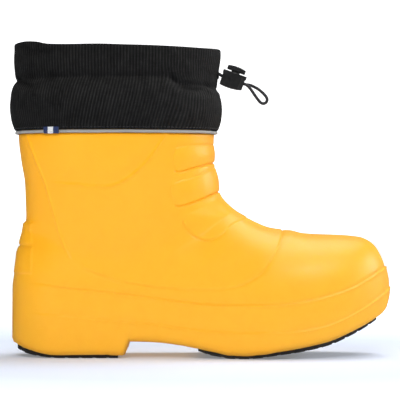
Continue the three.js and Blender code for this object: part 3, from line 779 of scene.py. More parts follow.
def place(piece, slot, body, *nodes):
    """Gives a piece its material and slot, rides it on any body, and hides the CAD nodes it stands for."""
    piece.data.materials.clear()
    piece.data.materials.append(MATERIALS[slot])
    if body:
        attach(piece, body)
    if nodes:
        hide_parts(*nodes)
    return piece


# ---------------------------------------------------------------- drawcord
CORD_DIAMETER = 2.5
# both runs of the free loop, from the eyelet through the lock, round the tip and back
LOOP_ROUTE = [
    (12.7, 1.5, 228.2), (14.6, 1.5, 227.7), (18, 1.5, 225.9), (22, 1.5, 224.5), (26, 1.5, 223), (30, 1.5, 221.5),
    (34.4, 1.5, 219.9), (37.2, 1.45, 219.2), (40.2, 1.1, 218.7), (43.5, 0.6, 217.2), (46.3, 0.2, 215.6),
    (49.1, 0, 213.4), (51.3, 0, 211.3), (52.8, 0, 209.4), (53.7, 0, 207.3), (53.1, 0, 205), (50.9, 0, 203.8),
    (48.6, 0, 204.5), (46.8, 0, 206.4), (44.9, 0, 208.9), (43, -0.3, 211.6), (41.1, -0.8, 214.4),
    (38.9, -1.3, 217.2), (36.8, -1.5, 218.9), (34.4, -1.5, 219.9), (30, -1.5, 221.5), (26, -1.5, 223),
    (22, -1.5, 224.5), (18, -1.5, 225.9), (14.6, -1.5, 227.7), (12.7, -1.5, 228.2)]


def drawcord_loop():
    """The free loop as a tube, with its length and its path."""
    points = smooth_line(LOOP_ROUTE, 6)
    ahead = unit(np.gradient(points, axis=0))
    side = unit(np.array([0, 1, 0]) - ahead * ahead[:, 1:2])
    up = np.cross(ahead, side)
    turn = turns(14)[:, None]
    rows = points[:, None] + CORD_DIAMETER / 2 * (np.cos(turn) * side[:, None] + np.sin(turn) * up[:, None])
    loop = place(ring_mesh("drawcord_free_loop", rows, caps=True), "elastic_cord", None, "drawcord_loop")
    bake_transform(loop)
    return loop, travelled_along(points)[-1] * MM, points * MM


cord_loop, cord_length, cord_path = drawcord_loop()


# ---------------------------------------------------------------- shell
def outer_rows(count, around):
    """Rings of the plain outer skin, evenly spread but for the hidden underside, which needs few points."""
    sections = Sections(section_lines(count))
    coarse = np.tile(np.linspace(0, 2 * math.pi, 481), (count, 1))
    rough = sections.points(coarse, outer_skin())
    x, y, z = np.moveaxis(rough, -1, 0)
    across = np.abs(y - centre_y(x, z)) / (1 + plan_half_width(x))
    weight = 1 - 0.65 * smoothstep(0.95, 0.8, across) * smoothstep(5, 1, z - sole_line(x))
    steps = np.linalg.norm(np.diff(rough, axis=1), axis=2) * (weight[:, 1:] + weight[:, :-1]) / 2
    angles = []
    for step in steps:
        travelled = np.concatenate([[0], np.cumsum(step)])
        angles.append(np.interp(np.linspace(0, travelled[-1], around, endpoint=False), travelled, coarse[0]))
    angles = smooth_down(np.stack(angles), 6)
    return sections.points(angles, outer_skin()), angles[-1]


def mesh_points(mesh):
    values = np.empty(3 * len(mesh.vertices))
    mesh.vertices.foreach_get("co", values)
    return values.reshape(-1, 3) / MM


def refine(mesh, is_plain, gap, reach, rounds=3, shortest=0.0):
    """Halves the outer skin's edges within `reach` of some lines, and puts the new points on the skin."""
    before = len(mesh.vertices)
    points = mesh_points(mesh)
    ends = np.empty(2 * len(mesh.edges), int)
    mesh.edges.foreach_get("vertices", ends)
    ends = ends.reshape(-1, 2)
    middle = points[ends].mean(1)
    length = np.linalg.norm(points[ends[:, 0]] - points[ends[:, 1]], axis=1)
    chosen = is_plain[ends].all(1) & (gap(middle[:, 0], middle[:, 2]) < reach) & (length > shortest)
    work = bmesh.new()
    work.from_mesh(mesh)
    work.edges.ensure_lookup_table()
    edges = [work.edges[i] for i in np.flatnonzero(chosen)]
    bmesh.ops.subdivide_edges(work, edges=edges, cuts=1, use_grid_fill=True)
    work.to_mesh(mesh)
    work.free()
    points = mesh_points(mesh)
    points[before:] = onto_outer_skin(points[before:], rounds)
    mesh.vertices.foreach_set("co", (points * MM).ravel())
    return np.concatenate([is_plain, np.ones(len(points) - before, bool)])


PAD_NODES = {"tread_heel": "outsole_heel", "tread_forefoot": "outsole_forefoot"}
PADS = {name: [corner.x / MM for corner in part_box(node)] for name, node in PAD_NODES.items()}
PAD_DEPTH = 3.2
PAD_RECESS = 2.6
tread_drop = curve_through([
    (-152, 0.8), (-20, 0.8), (-2, 0.5), (8, 1.6), (24, 0.8), (50, 0.8), (80, 1.8), (105, 2.0), (141, 1.3)])


def pad_half_width(x):
    return np.maximum(plan_half_width(x) * 0.94 - 5.5, 3.0)


def pad_recess(points):
    """How far the sole is let in over the tread pads, which stand in recesses."""
    x, y, z = np.moveaxis(points, -1, 0)
    within = np.full(len(x), -1.0)
    for low, high in PADS.values():
        ends = np.minimum(x - low, high - x)
        within = np.maximum(within, np.minimum(ends, pad_half_width(x) - np.abs(y - foot_centre(x))))
    return PAD_RECESS * smoothstep(-2.0, 0.5, within) * smoothstep(3.0, 1.5, z - sole_line(x))


def boot_shell():
    """The outer skin with its relief, the flange and the inner skin in one mesh, finer near the relief."""
    count, around = ((172, 176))
    count_inside = 46
    rows, last_angles = outer_rows(count, around)
    rim = Sections(level_lines([RIM_Z, FLANGE_TOP_Z]))
    flange = rim.points(np.tile(last_angles, (2, 1)), inner_skin(FLANGE_INSET, 0))
    inside = Sections(section_lines(count_inside, FLANGE_TOP_Z))
    inner = inside.points(np.tile(last_angles, (count_inside, 1)), inner_skin(SHELL_WALL, 0))
    shell = ring_mesh("boot_shell_moulded", np.concatenate([rows, flange, inner[::-1]]), caps=True)
    is_plain = np.arange(len(shell.data.vertices)) < count * around
    for reach in ((3.3, 1.5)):
        is_plain = refine(shell.data, is_plain, relief_gap, reach)
    for reach in (5.0, 4.0, 3.0):
        is_plain = refine(shell.data, is_plain, heel_front_gap, reach, rounds=8, shortest=1.5)
    points = mesh_points(shell.data)
    skin = points[is_plain]
    rise = relief(skin[:, 0], skin[:, 2]) * smoothstep(0.3, 1.5, skin[:, 2] - sole_line(skin[:, 0]))
    rise += 0.12 * noise(skin, 55, 3) + 0.03 * noise(skin, 11, 4)
    rise *= smoothstep(RIM_Z, RIM_Z - 2, skin[:, 2])
    points[is_plain] = skin - unit(outer_slope(skin)) * rise[:, None]
    points[is_plain, 2] += pad_recess(skin)
    shell.data.vertices.foreach_set("co", (points * MM).ravel())
    shell.data.update()
    return place(shell, "eva", "root", "boot_shell")


boot_shell()


# ---------------------------------------------------------------- tread pads
LUG_PITCH = 11
GROOVE_DEPTH, MIDDLE_DEPTH, SIPE_DEPTH = 2.0, 1.6, 0.9


def tread_pad(name, low, high):
    """A rubber pad: a fine grid over its plan, with lugs, cross grooves and a wavy sipe in each lug."""
    along, across = ((420, 110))
    x = low + (high - low) * (1 - np.cos(np.linspace(0, math.pi, along))) / 2
    side = np.abs(np.linspace(-1, 1, across))[None, :]
    grid_x = np.repeat(x[:, None], across, 1)
    grid_y = foot_centre(x)[:, None] + pad_half_width(x)[:, None] * np.linspace(-1, 1, across)
    bend = 3.2 * np.cos(math.pi * grid_y / 44)
    off_middle = np.abs((grid_x + bend - low) / LUG_PITCH % 1 - 0.5)
    # the cross grooves stop short of the pad's sides, but not round the toe
    to_side = np.maximum(smoothstep(1.0, 0.93, side), smoothstep(95, 112, grid_x))
    groove = smoothstep(0.13, 0.09, off_middle) * to_side
    middle = smoothstep(2.0, 1.4, np.abs(grid_y - foot_centre(grid_x)))
    sipe = smoothstep(0.055, 0.03, np.abs(off_middle - 0.5 + 0.03 * np.sin(grid_y * 1.3)))
    sipe = sipe * smoothstep(0.9, 0.8, side)
    depth = np.maximum.reduce([GROOVE_DEPTH * groove, MIDDLE_DEPTH * middle, SIPE_DEPTH * sipe])
    round_edge = 0.5 * smoothstep(0.94, 1.0, side)
    ground = sole_line(grid_x) - tread_drop(grid_x)
    lower = np.stack([grid_x, grid_y, ground + depth + round_edge], -1)
    upper = np.stack([grid_x, grid_y, sole_line(grid_x) + PAD_DEPTH], -1)
    index = np.arange(along * across).reshape(along, across)
    top = index + along * across
    faces = [np.stack([a[:-1, :-1], a[1:, :-1], a[1:, 1:], a[:-1, 1:]], -1).reshape(-1, 4) for a in (index, top)]
    for edge in ((0,), (-1,), (slice(None), 0), (slice(None), -1)):
        a, b = index[edge], top[edge]
        faces.append(np.stack([a[:-1], a[1:], b[1:], b[:-1]], -1))
    points = np.concatenate([lower.reshape(-1, 3), upper.reshape(-1, 3)])
    pad = mesh_from(name, points, np.concatenate(faces).tolist(), smooth=False)
    return place(pad, "tread_rubber", "root", PAD_NODES[name])


for pad_name, pad_ends in PADS.items():
    tread_pad(pad_name, *pad_ends)


# ---------------------------------------------------------------- liner and footbed
INSIDE_LINER = SHELL_WALL + LINER_GAP + LINER_WALL


def liner():
    """The felt bootie, from its inner toe over its rim to its outer toe."""
    count, around = ((130, 150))
    angles = np.tile(turns(around), (count, 1))
    sections = Sections(section_lines(count, LINER_TOP_Z))
    outer = sections.points(angles, inner_skin(SHELL_WALL + LINER_GAP, LINER_GAP))
    inner = sections.points(angles, inner_skin(INSIDE_LINER, LINER_GAP + LINER_WALL))
    inner -= row_normals(inner) * (0.25 * noise(inner, 26, 8) + 0.1 * noise(inner, 7, 9))[..., None]
    # the inner skin has no room for rings at the very tip of the toe
    bootie = ring_mesh("liner_felt", np.concatenate([inner[4:], outer[::-1]]), caps=True)
    return place(bootie, "felt", "root", "liner_boot")


def oval_points(angle, offset, z):
    """Points round the collar's oval, moved out by `offset`."""
    x = OVAL_X + (OVAL_LENGTH + offset) * signed_power(np.cos(angle), 2 / OVAL_POWER)
    y = (OVAL_WIDTH + offset) * np.sin(angle)
    return np.stack(np.broadcast_arrays(x, y, z), -1)


def even_angles(count):
    """Angles that are evenly spaced along the oval, and the oval's length."""
    fine = np.linspace(0, 2 * math.pi, 8001)
    travelled = travelled_along(oval_points(fine, 0.0, 0.0))
    wanted = np.linspace(0, travelled[-1], count, endpoint=False)
    return np.interp(wanted, travelled, fine), travelled[-1]


def oval_tube(name, profile, count):
    """A closed ring with a section of (offset, z), where both may be lists that change round the ring."""
    angles, _ = even_angles(count)
    rows = np.stack([oval_points(angles, offset, z) for offset, z in profile], 1)
    return ring_mesh(name, rows, closed=True)


def liner_binding():
    """A folded tape over the felt's rim, drawn in a little at each stitch."""
    offset, middle = -8.1, LINER_TOP_Z + 2.0
    around, pitch = 360, 3.2
    stitches = round(even_angles(around)[1] / pitch)
    stitch = 0.12 * np.sin(stitches * turns(around))
    profile = []
    for turn in turns(20):
        wide, tall = 1.65 * signed_power(np.cos(turn), 0.7), 1.55 * signed_power(np.sin(turn), 0.7)
        profile.append((offset + wide + stitch * abs(np.cos(turn)), middle + tall))
    return place(oval_tube("liner_binding_tape", profile, around), "binding_tape", "root", "liner_binding")


def footbed():
    """A foam sole with a dished top, a rolled edge, fine cross ribs on the forefoot and a raised heel end."""
    start, end = -124.0, 126.0
    lift = LINER_GAP + LINER_WALL + 1.6
    margin = INSIDE_LINER + 11
    count, around = 120, 64
    x = start + (end - start) * (1 - np.cos(np.linspace(0.06, math.pi - 0.06, count)[:, None])) / 2
    half = np.maximum(plan_half_width(x * HALF_LENGTH / (end + 14)) - margin, 5)
    wide = signed_power(np.cos(turns(around)), 0.35)
    tall = signed_power(np.sin(turns(around)), 0.6)
    low = floor_line(x) + lift + 0.28 * np.clip(-98 - x, 0, None)
    dish = 0.7 * wide ** 2 * (tall > 0)
    ribs = 0.18 * np.sin(x / 1.6) * (tall > 0.5) * smoothstep(20, 30, x)
    z = low + 1.9 + 1.7 * tall + dish + ribs
    rows = np.stack([np.repeat(x, around, 1), foot_centre(x) + half * wide, z], -1)
    return place(ring_mesh("footbed_padded", rows, caps=True), "footbed_foam", "root", "footbed")


liner()
liner_binding()
footbed()


# ---------------------------------------------------------------- collar
RIB_PITCH = 2.42
COLLAR_LOW = 181.6
WAIST_Z = 222.6
# how far the outer sheet stands off the oval, by its height
collar_offset = curve_through([
    (181.4, 2.2), (182.4, 3.0), (186, 4.2), (191, 5.3), (203, 6.4), (210, 6.0), (216, 4.8), (220, 3.1),
    (222, 1.8), (222.8, 1.6), (224, 2.1), (230, 2.8), (241, 3.4), (248, 3.3), (256, 3.2)])
# the height of the sharp fold at the waist and of the top edge, along the outer and the inner side
waist_outer = curve_through([
    (-160, 221.5), (-148, 222), (-118, 222.6), (-60, 223), (-30, 223.2), (-23, 221), (-16, 217.5), (0, 217),
    (12, 217.6), (20, 217.8)])
waist_inner = curve_through([(-160, 221.5), (-130, 220), (-95, 222.5), (-50, 220), (-20, 217.5), (20, 213)])
top_edge_outer = curve_through([
    (-160, 249.6), (-148, 250.2), (-138, 251), (-130, 250.4), (-118, 248), (-100, 247.4), (-82, 247.5),
    (-60, 246.9), (-41, 246.5), (-15, 245.8), (0, 245.5), (10, 245.9), (20, 246.4)])
top_edge_inner = curve_through([
    (-160, 249.6), (-148, 250.2), (-132, 249.4), (-112, 247.6), (-90, 246.9), (-60, 246.8), (-30, 246.2),
    (0, 245.6), (20, 246.4)])

# Folds of the outer sheet by side (-1 is the outer side): the (x, z) of the two ends, height and width.
FOLDS = {
    -1: [
        ((-150, 224), (-132, 215.5), -1.7, 2.2), ((-147, 214), (-120, 207), 0.8, 4.0),
        ((-126, 229), (-112, 224), -0.9, 3.0), ((-25, 228), (-17.5, 216), -1.3, 1.9),
        ((-20, 215.5), (6, 213.4), -1.5, 1.6), ((1, 219.5), (18, 212.2), -1.6, 1.5),
        ((-15, 221), (3, 222), 1.0, 2.2), ((-12, 209.5), (14, 208), 0.9, 3.0),
        ((4, 214.5), (19, 213), 1.0, 2.2), ((-141, 246), (-116, 243), -0.9, 2.4),
        ((-147, 245), (-141, 228), 0.9, 3.0), ((-96, 214), (-60, 209), 0.5, 4.5),
        ((-16, 240), (10, 234), -0.5, 3.0), ((2, 231), (13, 225), -0.7, 2.0)],
    1: [
        ((-146, 218), (-118, 212), -1.4, 2.8), ((-110, 213), (-70, 209), 1.0, 4.0),
        ((-60, 221), (-34, 213), -1.0, 3.0), ((-34, 212), (6, 207), 1.2, 3.4),
        ((-14, 223), (10, 217), -1.1, 2.4), ((-140, 243), (-100, 240), -0.8, 4.0),
        ((-50, 240), (-10, 235), 0.8, 4.0), ((-4, 200), (14, 192), 0.9, 3.2)]}


def fold_height(x, y, z):
    """How far the folds stand out. Each sags a little in its middle and fades toward its ends."""
    height = np.zeros(x.shape)
    for side, folds in FOLDS.items():
        on_side = smoothstep(-14, 8, side * y)
        for start, end, rise, width in folds:
            start, end = np.array(start, float), np.array(end, float)
            gap, share = line_field(x, z, [start, (start + end) / 2 - (0, 1.2), end])
            height += rise * bead(gap, width) * np.sin(math.pi * np.clip(share, 0, 1)) ** 0.6 * on_side
    return height


def rib_shift(x, y, z, waist):
    """How far a rib is drawn sideways by the cord, in millimetres along the oval."""
    drop = np.clip((waist - z) / 38, 0, 1)
    lean = 8.5 * smoothstep(-135, -95, x) * smoothstep(12, -30, x) - 2.5 * smoothstep(-120, -150, x)
    pull = 4.0 * bead(z - waist, 6) * bead(x + 14, 14)
    return np.sign(-y + 1e-9) * (lean * drop - pull)


def collar_tops(base):
    """The top edge's height over points of the oval."""
    return np.where(base[:, 1] < 0, top_edge_outer(base[:, 0]), top_edge_inner(base[:, 0]))


def collar_rows(around, heights):
    """The collar's sheet, how far each point is raised, its painted light and shade, and the angles."""
    angles, length = even_angles(around)
    base = oval_points(angles, 0.0, 0.0)
    top = collar_tops(base)
    z = COLLAR_LOW + (top - COLLAR_LOW)[None, :] * np.linspace(0, 1, heights)[:, None]
    mix = smoothstep(-20, 20, base[:, 1])
    waist = waist_outer(base[:, 0]) * (1 - mix) + waist_inner(base[:, 0]) * mix
    near_waist = smoothstep(186, 210, z) * smoothstep(244, 228, z)
    offset = collar_offset(z - (waist - WAIST_Z) * near_waist)
    offset += 1.7 * smoothstep(226, 246, z) * smoothstep(-12, 10, base[:, 0])
    rows = oval_points(angles, offset, z)
    x, y = rows[..., 0], rows[..., 1]
    arc = np.linspace(0, length, around, endpoint=False)[None, :]
    phase = 2 * math.pi * round(length / RIB_PITCH) * (arc + rib_shift(x, y, z, waist)) / length
    rib = np.cos(phase) + 0.25 * np.cos(2 * phase)
    lie = noise(rows * (1, 1, 0.6), 62, 12) * 0.7 + noise(rows, 24, 13) * 0.3
    swell = smoothstep(COLLAR_LOW, 188, z) * smoothstep(top + 1, top - 5, z)
    fold = fold_height(x, y, z)
    # painted light and shade: a rib is paler on its crest and darker in its groove, a raised fold paler and a
    # crease darker, the cloth paler where it turns up under the waist and catches the light, and darker just
    # over the waist
    below = smoothstep(0.8, -0.8, z - waist) * np.exp(-np.clip(waist - z, 0, None) / 16)
    painted_light_tone = (0.5 + 0.4 * rib) * np.clip(1 + 0.45 * fold, 0.2, 1.1)
    painted_light_tone = painted_light_tone * (1 + 0.55 * below) * (1 - 0.3 * bead(z - waist - 2, 2.5))
    return rows, 0.2 * rib + swell * (fold + lie), painted_light_tone, angles


def collar_outer():
    """The ribbed outer sheet: its face, its rolled crown and the hem turned down inside."""
    around, heights = ((1290, 60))
    roll, crown_rise = 2.3, 1.25
    rows, rise, painted_light_tone, angles = collar_rows(around, heights)
    outward = unit(np.stack([np.cos(angles), np.sin(angles) * 1.25, np.zeros_like(angles)], -1))
    face = rows + outward * rise[..., None]
    up = np.array([0, 0, 1.0])
    crown = [face[-1] - outward * roll * (1 - math.cos(turn)) / 2 + up * crown_rise * math.sin(turn)
             for turn in np.linspace(0, math.pi, 5)[1:]]
    hem = [crown[-1] - up * drop - outward * 0.4 for drop in (3.5, 7.5)]
    sheet = ring_mesh("collar_sheet", np.concatenate([face, crown, hem]))
    # the rib attribute carries the painted light and shade of the ribs, folds and waist
    rib = sheet.data.attributes.new("rib", "FLOAT", "POINT")
    turned_in = np.repeat(painted_light_tone[-1:], len(crown) + len(hem), 0)
    rib.data.foreach_set("value", np.concatenate([painted_light_tone, turned_in]).ravel())
    return place(sheet, "collar_fabric", "root", "collar_outer")


LINING_LOW = 179.8
# how far the lining stands off the oval, by its height
lining_offset = curve_through([
    (179.8, -5.6), (189.5, -5.4), (196, -2.8), (205, -0.4), (214, -0.8), (219, -3.2), (222, -4.4), (234, -4.4),
    (238, -1.4), (242, 0.6), (250, 0.9), (256, 0.9)])


def collar_lining():
    """The lining inside the outer sheet, in small pleats where the cord gathers it."""
    around, heights = 520, 60
    pleats, gather_z = 46, 228
    angles, _ = even_angles(around)
    top = collar_tops(oval_points(angles, 0.0, 0.0)) - 2.5
    z = LINING_LOW + (top - LINING_LOW)[None, :] * np.linspace(0, 1, heights)[:, None]
    pleat = bead(z - gather_z, 11) * np.cos(pleats * turns(around) + 1.4 * np.sin(6 * angles))
    rows = oval_points(angles, lining_offset(z) - 0.5 + 0.55 * pleat, z)
    rows[..., :2] += (noise(rows, 40, 21) * 0.4)[..., None] * np.array([1, 0.6])
    return place(ring_mesh("collar_lining_sheet", rows), "lining_fabric", "root", "collar_lining")


STITCH_Z = 183.2
# a stitch from end to end: the share of its length, its radius there, and how far it stands out of the cloth
STITCH = [(0, 0.08, -0.25), (0.2, 0.24, 0.1), (0.5, 0.27, 0.22), (0.8, 0.24, 0.1), (1, 0.08, -0.25)]


def collar_stitches():
    """A row of stitches through the collar's hem, just above the piping."""
    fine = np.linspace(0, 2 * math.pi, 4001)
    travelled = travelled_along(oval_points(fine, 0.0, 0.0))
    count = round(travelled[-1] / 3.1)
    surface = float(collar_offset(STITCH_Z)) + 0.1
    sides = 6
    points, faces = [], []
    for i in range(count):
        first, last = np.interp([(i + end) * travelled[-1] / count for end in (0.12, 0.8)], travelled, fine)
        start = len(points)
        for share, radius, lift in STITCH:
            for turn in turns(sides):
                offset = surface + lift + radius * math.cos(turn)
                angle = np.array(first + share * (last - first))
                points.append(oval_points(angle, offset, STITCH_Z + radius * math.sin(turn)))
        rings = np.arange(start, len(points)).reshape(-1, sides)
        for ring, following in zip(rings[:-1], rings[1:]):
            quads = np.stack([ring, np.roll(ring, -1), np.roll(following, -1), following], 1)
            faces += quads.tolist()
        faces += [rings[0].tolist(), rings[-1].tolist()]
    return place(mesh_from("collar_stitches", np.array(points), faces), "elastic_cord", "root")


def piping():
    """A covered cord, puckered at its stitches, and the flat tape that holds it in the seam."""
    around, radius, middle = 900, 1.22, (1.6, 180.0)
    angles, length = even_angles(around)
    puckered = radius + 0.06 * np.cos(round(length / 2.4) * turns(around))
    lie = 0.25 * noise(oval_points(angles, 0.0, middle[1]), 70, 31)
    profile = [(middle[0] + puckered * math.cos(turn), middle[1] + lie + puckered * math.sin(turn))
               for turn in turns(16)]
    flat = [(1.2, 181.2 + lie), (1.2, 179.4 + lie), (-1.7, 179.2), (-1.7, 180.2)]
    place(oval_tube("collar_piping_cord", profile, around), "piping", "root", "collar_piping")
    place(oval_tube("collar_piping_tape", flat, around), "piping", "root")


TAB_FACE, TAB_BACK = 4.35, 3.45     # how far the ribbon's two faces stand off the oval
TAB_LOW, TAB_HIGH = 178.3, 183.6


def side_tab():
    """The ribbon's visible end, with its woven threads, turned under at the bottom."""
    low, high = (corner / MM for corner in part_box("side_tab"))
    along = abs((low.x + high.x) / 2 - OVAL_X) / (OVAL_LENGTH + 4.4)
    half_angle = 0.093
    angle = math.pi + math.acos(along ** (OVAL_POWER / 2)) + half_angle * np.linspace(-1, 1, 48)
    heights = np.linspace(TAB_LOW, TAB_HIGH, 26)[:, None]
    thread = 0.05 * np.cos(heights * 2 * math.pi / 0.42)
    fold = 0.75 * bead(heights - TAB_LOW, 0.7)
    front = oval_points(angle, TAB_FACE + thread - fold, heights)
    back = oval_points(angle, TAB_BACK, heights)
    rows = np.concatenate([front, back[::-1]])
    return place(ring_mesh("ribbon_tab", np.transpose(rows, (1, 0, 2)), caps=True), "ribbon", "root", "side_tab")


collar_sheet = collar_outer()
collar_stitches()
lining_sheet = collar_lining()
piping()
side_tab()


# ---------------------------------------------------------------- eyelet, channel cord, cord lock
def lathe(name, profile, centre):
    """A turned piece about the X axis. The profile is (radius, x) and closed."""
    x, y, z = centre
    turn = turns(48)
    rows = np.stack([np.stack([np.full(len(turn), x + along), y + r * np.cos(turn), z + r * np.sin(turn)], -1)
                     for r, along in profile])
    return ring_mesh(name, rows, closed=True)


EYELET = (13.45, 0.0, 228.4)
EYELET_PROFILE = [
    (3.1, -2.8), (3.6, -2.8), (3.6, 0.4), (4.7, 0.35), (4.8, 0.7), (4.4, 1.15), (3.8, 1.3), (3.3, 1.1),
    (3.1, 0.6)]
WASHER_PROFILE = [(3.9, -2.6), (4.7, -2.6), (4.8, -2.3), (4.6, -1.95), (3.9, -2.0)]
place(lathe("eyelet_rolled", EYELET_PROFILE, EYELET), "eyelet_metal", "root", "eyelet")
place(lathe("eyelet_back_washer", WASHER_PROFILE, EYELET), "eyelet_metal", "root", "eyelet_washer")


def curve_object(name, points, radius, sides=4):
    """A round wire through the points."""
    data = bpy.data.curves.new(name, "CURVE")
    data.dimensions = "3D"
    data.bevel_depth = radius * MM
    data.bevel_resolution = sides
    data.use_fill_caps = True
    spline = data.splines.new("POLY")
    spline.points.add(len(points) - 1)
    spline.points.foreach_set("co", np.c_[np.asarray(points) * MM, np.ones(len(points))].ravel())
    spline.use_smooth = True
    return link(name, data)


def channel_cord():
    """The cord inside the collar's channel, with both ends led to the eyelet."""
    around = oval_points(np.linspace(0.14, 2 * math.pi - 0.14, 220), -2.3, EYELET[2])
    lead = np.array([(10.3, 1.5, EYELET[2]), (9, 2.3, EYELET[2])])
    out = lead[::-1] * (1, -1, 1)
    points = np.vstack([smooth_line(np.vstack([lead, around[:3]]), 4)[:-9], around[1:-1],
                        smooth_line(np.vstack([around[-3:], out]), 4)[9:]])
    cord = curve_object("drawcord_in_channel", points, CORD_DIAMETER / 2)
    return place(cord, "elastic_cord", "root", "drawcord_ring")


channel_cord()

# the lock's own frame has X along the cord and Z along the button's press
LOCK_FRAME = Matrix.Translation(Vector((26, 0, 223)) * MM) @ Matrix.Rotation(math.radians(20), 4, "Y")


def round_edges(piece, width, segments, sharper_than):
    rounding = piece.modifiers.new("bevel", "BEVEL")
    rounding.width = width * MM
    rounding.segments = segments
    rounding.limit_method = "ANGLE"
    rounding.angle_limit = math.radians(sharper_than)
    return rounding


def extruded(name, outline, width, bevel):
    """A block with a side outline in the lock's own frame, as wide as `width`, with rounded edges."""
    count = len(outline)
    points = [(x, side * width / 2, z) for side in (-1, 1) for x, z in outline]
    faces = [list(range(count)), list(range(2 * count - 1, count - 1, -1))]
    faces += [[i, (i + 1) % count, count + (i + 1) % count, count + i] for i in range(count)]
    block = mesh_from(name, points, faces)
    round_edges(block, bevel, 3, 28).harden_normals = True
    return block


def box_cutter(low, high):
    corners = [(x, y, z) for x in (low[0], high[0]) for y in (low[1], high[1]) for z in (low[2], high[2])]
    faces = [[0, 1, 3, 2], [4, 6, 7, 5], [0, 4, 5, 1], [2, 3, 7, 6], [0, 2, 6, 4], [1, 5, 7, 3]]
    return mesh_from("cutter", corners, faces, smooth=False)


def cylinder_cutter(centre, radius, length, along):
    """A cylinder along axis 1 (Y) or 2 (Z) of the lock's frame."""
    turn = turns(48)
    ring = np.insert(radius * np.stack([np.cos(turn), np.sin(turn)], 1), along, 0, axis=1)
    rows = np.stack([ring + np.eye(3)[along] * end for end in (-length / 2, length / 2)]) + np.array(centre)
    return ring_mesh("cutter", rows, caps=True)


def apply_modifiers(piece):
    bpy.context.view_layer.update()
    graph = bpy.context.evaluated_depsgraph_get()
    mesh = bpy.data.meshes.new_from_object(piece.evaluated_get(graph))
    piece.modifiers.clear()
    piece.data = mesh


def combine(piece, operation, *others):
    """Cuts other pieces out of one, or joins them to it, and deletes them."""
    apply_modifiers(piece)
    for other in others:
        modifier = piece.modifiers.new("combine", "BOOLEAN")
        modifier.operation = operation
        modifier.solver = "EXACT"
        modifier.object = other
        apply_modifiers(piece)
        bpy.data.objects.remove(other)


def soften(piece, width):
    """Rounds the edges that the cuts left, shades by face angle and sets the piece in the boot's frame."""
    round_edges(piece, width, 2, 32)
    apply_modifiers(piece)
    for polygon in piece.data.polygons:
        polygon.use_smooth = True
    piece.data.transform(LOCK_FRAME)
    weighted = piece.modifiers.new("normals", "WEIGHTED_NORMAL")
    weighted.keep_sharp = True


SLOT_HALF_WIDTH = 3.1     # both runs of the cord pass side by side
BODY_TOP = 5.5
BUTTON_GAP = 1.2 + 0.3    # the press, and what is left when it is pressed


def lock_body():
    """The barrel: a block with a bowed underside, a lip under the button, a well for it and hollowed sides."""
    bottom = [(x, -7.15 + 0.0125 * (x + 0.8) ** 2 + 0.03 * x) for x in np.linspace(-9.2, 9.4, 15)]
    right = [(9.4, -2.0), (9.25, 1.2), (9.4, 2.7), (9.95, 3.3), (9.95, 5.2), (9.6, 5.6)]
    left = [(-9.5, 5.6), (-9.9, 5.2), (-9.9, 3.3), (-9.35, 2.7), (-9.15, 0.8), (-9.3, -3.0)]
    body = extruded("cord_lock_barrel", bottom + right + left, 12, 1.1)
    well = box_cutter((-3.9, -4.65, -5.3), (3.9, 4.65, 12))
    hole = box_cutter((-14, -SLOT_HALF_WIDTH, -1.65), (14, SLOT_HALF_WIDTH, 1.65))
    scoops = [cylinder_cutter((9.8, side * 8.4, -0.6), 4.6, 11.5, 2) for side in (-1, 1)]
    grips = [cylinder_cutter((-3.6, side * 12.6, -2.2), 7.0, 5.2, 2) for side in (-1, 1)]
    combine(body, "DIFFERENCE", well, hole, *scoops, *grips)
    soften(body, 0.22)
    return place(body, "lock_plastic", "cord_lock", "cord_lock_body")


def lock_plunger():
    """The button: an arched cap with cross ridges, on a stem with a slot for the cord."""
    low = BODY_TOP + BUTTON_GAP
    side = low + 2.9
    arch = [(x, low + 4 - 0.016 * abs(x) ** 2.05) for x in np.linspace(7.0, -7.0, 13)]
    cap = extruded("cord_lock_button", [(-7.6, low), (7.6, low), (7.6, side), *arch, (-7.6, side)], 11, 0.7)
    grooves = [cylinder_cutter((x, 0, low + 4.75), 0.95, 14, 1) for x in (-4.2, -2.1, 0, 2.1, 4.2)]
    combine(cap, "DIFFERENCE", *grooves)
    stem = box_cutter((-3.5, -4.3, -2.9), (3.5, 4.3, low + 1))
    combine(stem, "DIFFERENCE", box_cutter((-15, -SLOT_HALF_WIDTH, -1.6), (15, SLOT_HALF_WIDTH, 2.8)))
    combine(cap, "UNION", stem)
    soften(cap, 0.18)
    return place(cap, "lock_plastic", "plunger", "cord_lock_plunger")


def lock_spring():
    """The coil under the stem, which the button squashes against the bottom of the well."""
    coils, radius, low, high = 4.0, 2.6, -4.85, -3.35
    t = np.linspace(0, 1, 200)
    angle = 2 * math.pi * coils * t
    points = np.stack([radius * np.cos(angle), radius * np.sin(angle), low + (high - low) * t], -1)
    wire = curve_object("cord_lock_coil", points, 0.16, sides=3)
    graph = bpy.context.evaluated_depsgraph_get()
    mesh = bpy.data.meshes.new_from_object(wire.evaluated_get(graph))
    bpy.data.objects.remove(wire)
    mesh.transform(LOCK_FRAME)
    coil = place(link("cord_lock_coil", mesh), "spring_steel", "cord_lock", "cord_lock_spring")
    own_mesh(coil)


barrel = lock_body()
button = lock_plunger()
lock_spring()


# ---------------------------------------------------------------- floor and light
STAGE_RADIUS = 5.0
WALL_HEIGHT = 6.0
FLOOR_GLOW, FAR_GLOW = 0.2, 0.9     # the floor glows more where the boot's shadow has ended


def stage_sheet(name, profile, colour, glow):
    """A round sheet about the origin with a profile of (radius, z), pale and a little self-lit."""
    turn = turns(96)
    rows = [np.stack([r * np.cos(turn), r * np.sin(turn), np.full(len(turn), z)], -1) / MM for r, z in profile]
    sheet = ring_mesh(name, np.stack(rows))
    paint = Paint(name + "_paper", colour, 0.9, Specular_IOR_Level=0.1, Emission_Strength=glow,
                  Emission_Color=(1, 1, 1, 1))
    sheet.data.materials.append(paint.made)
    sheet.visible_glossy = False
    return sheet, paint


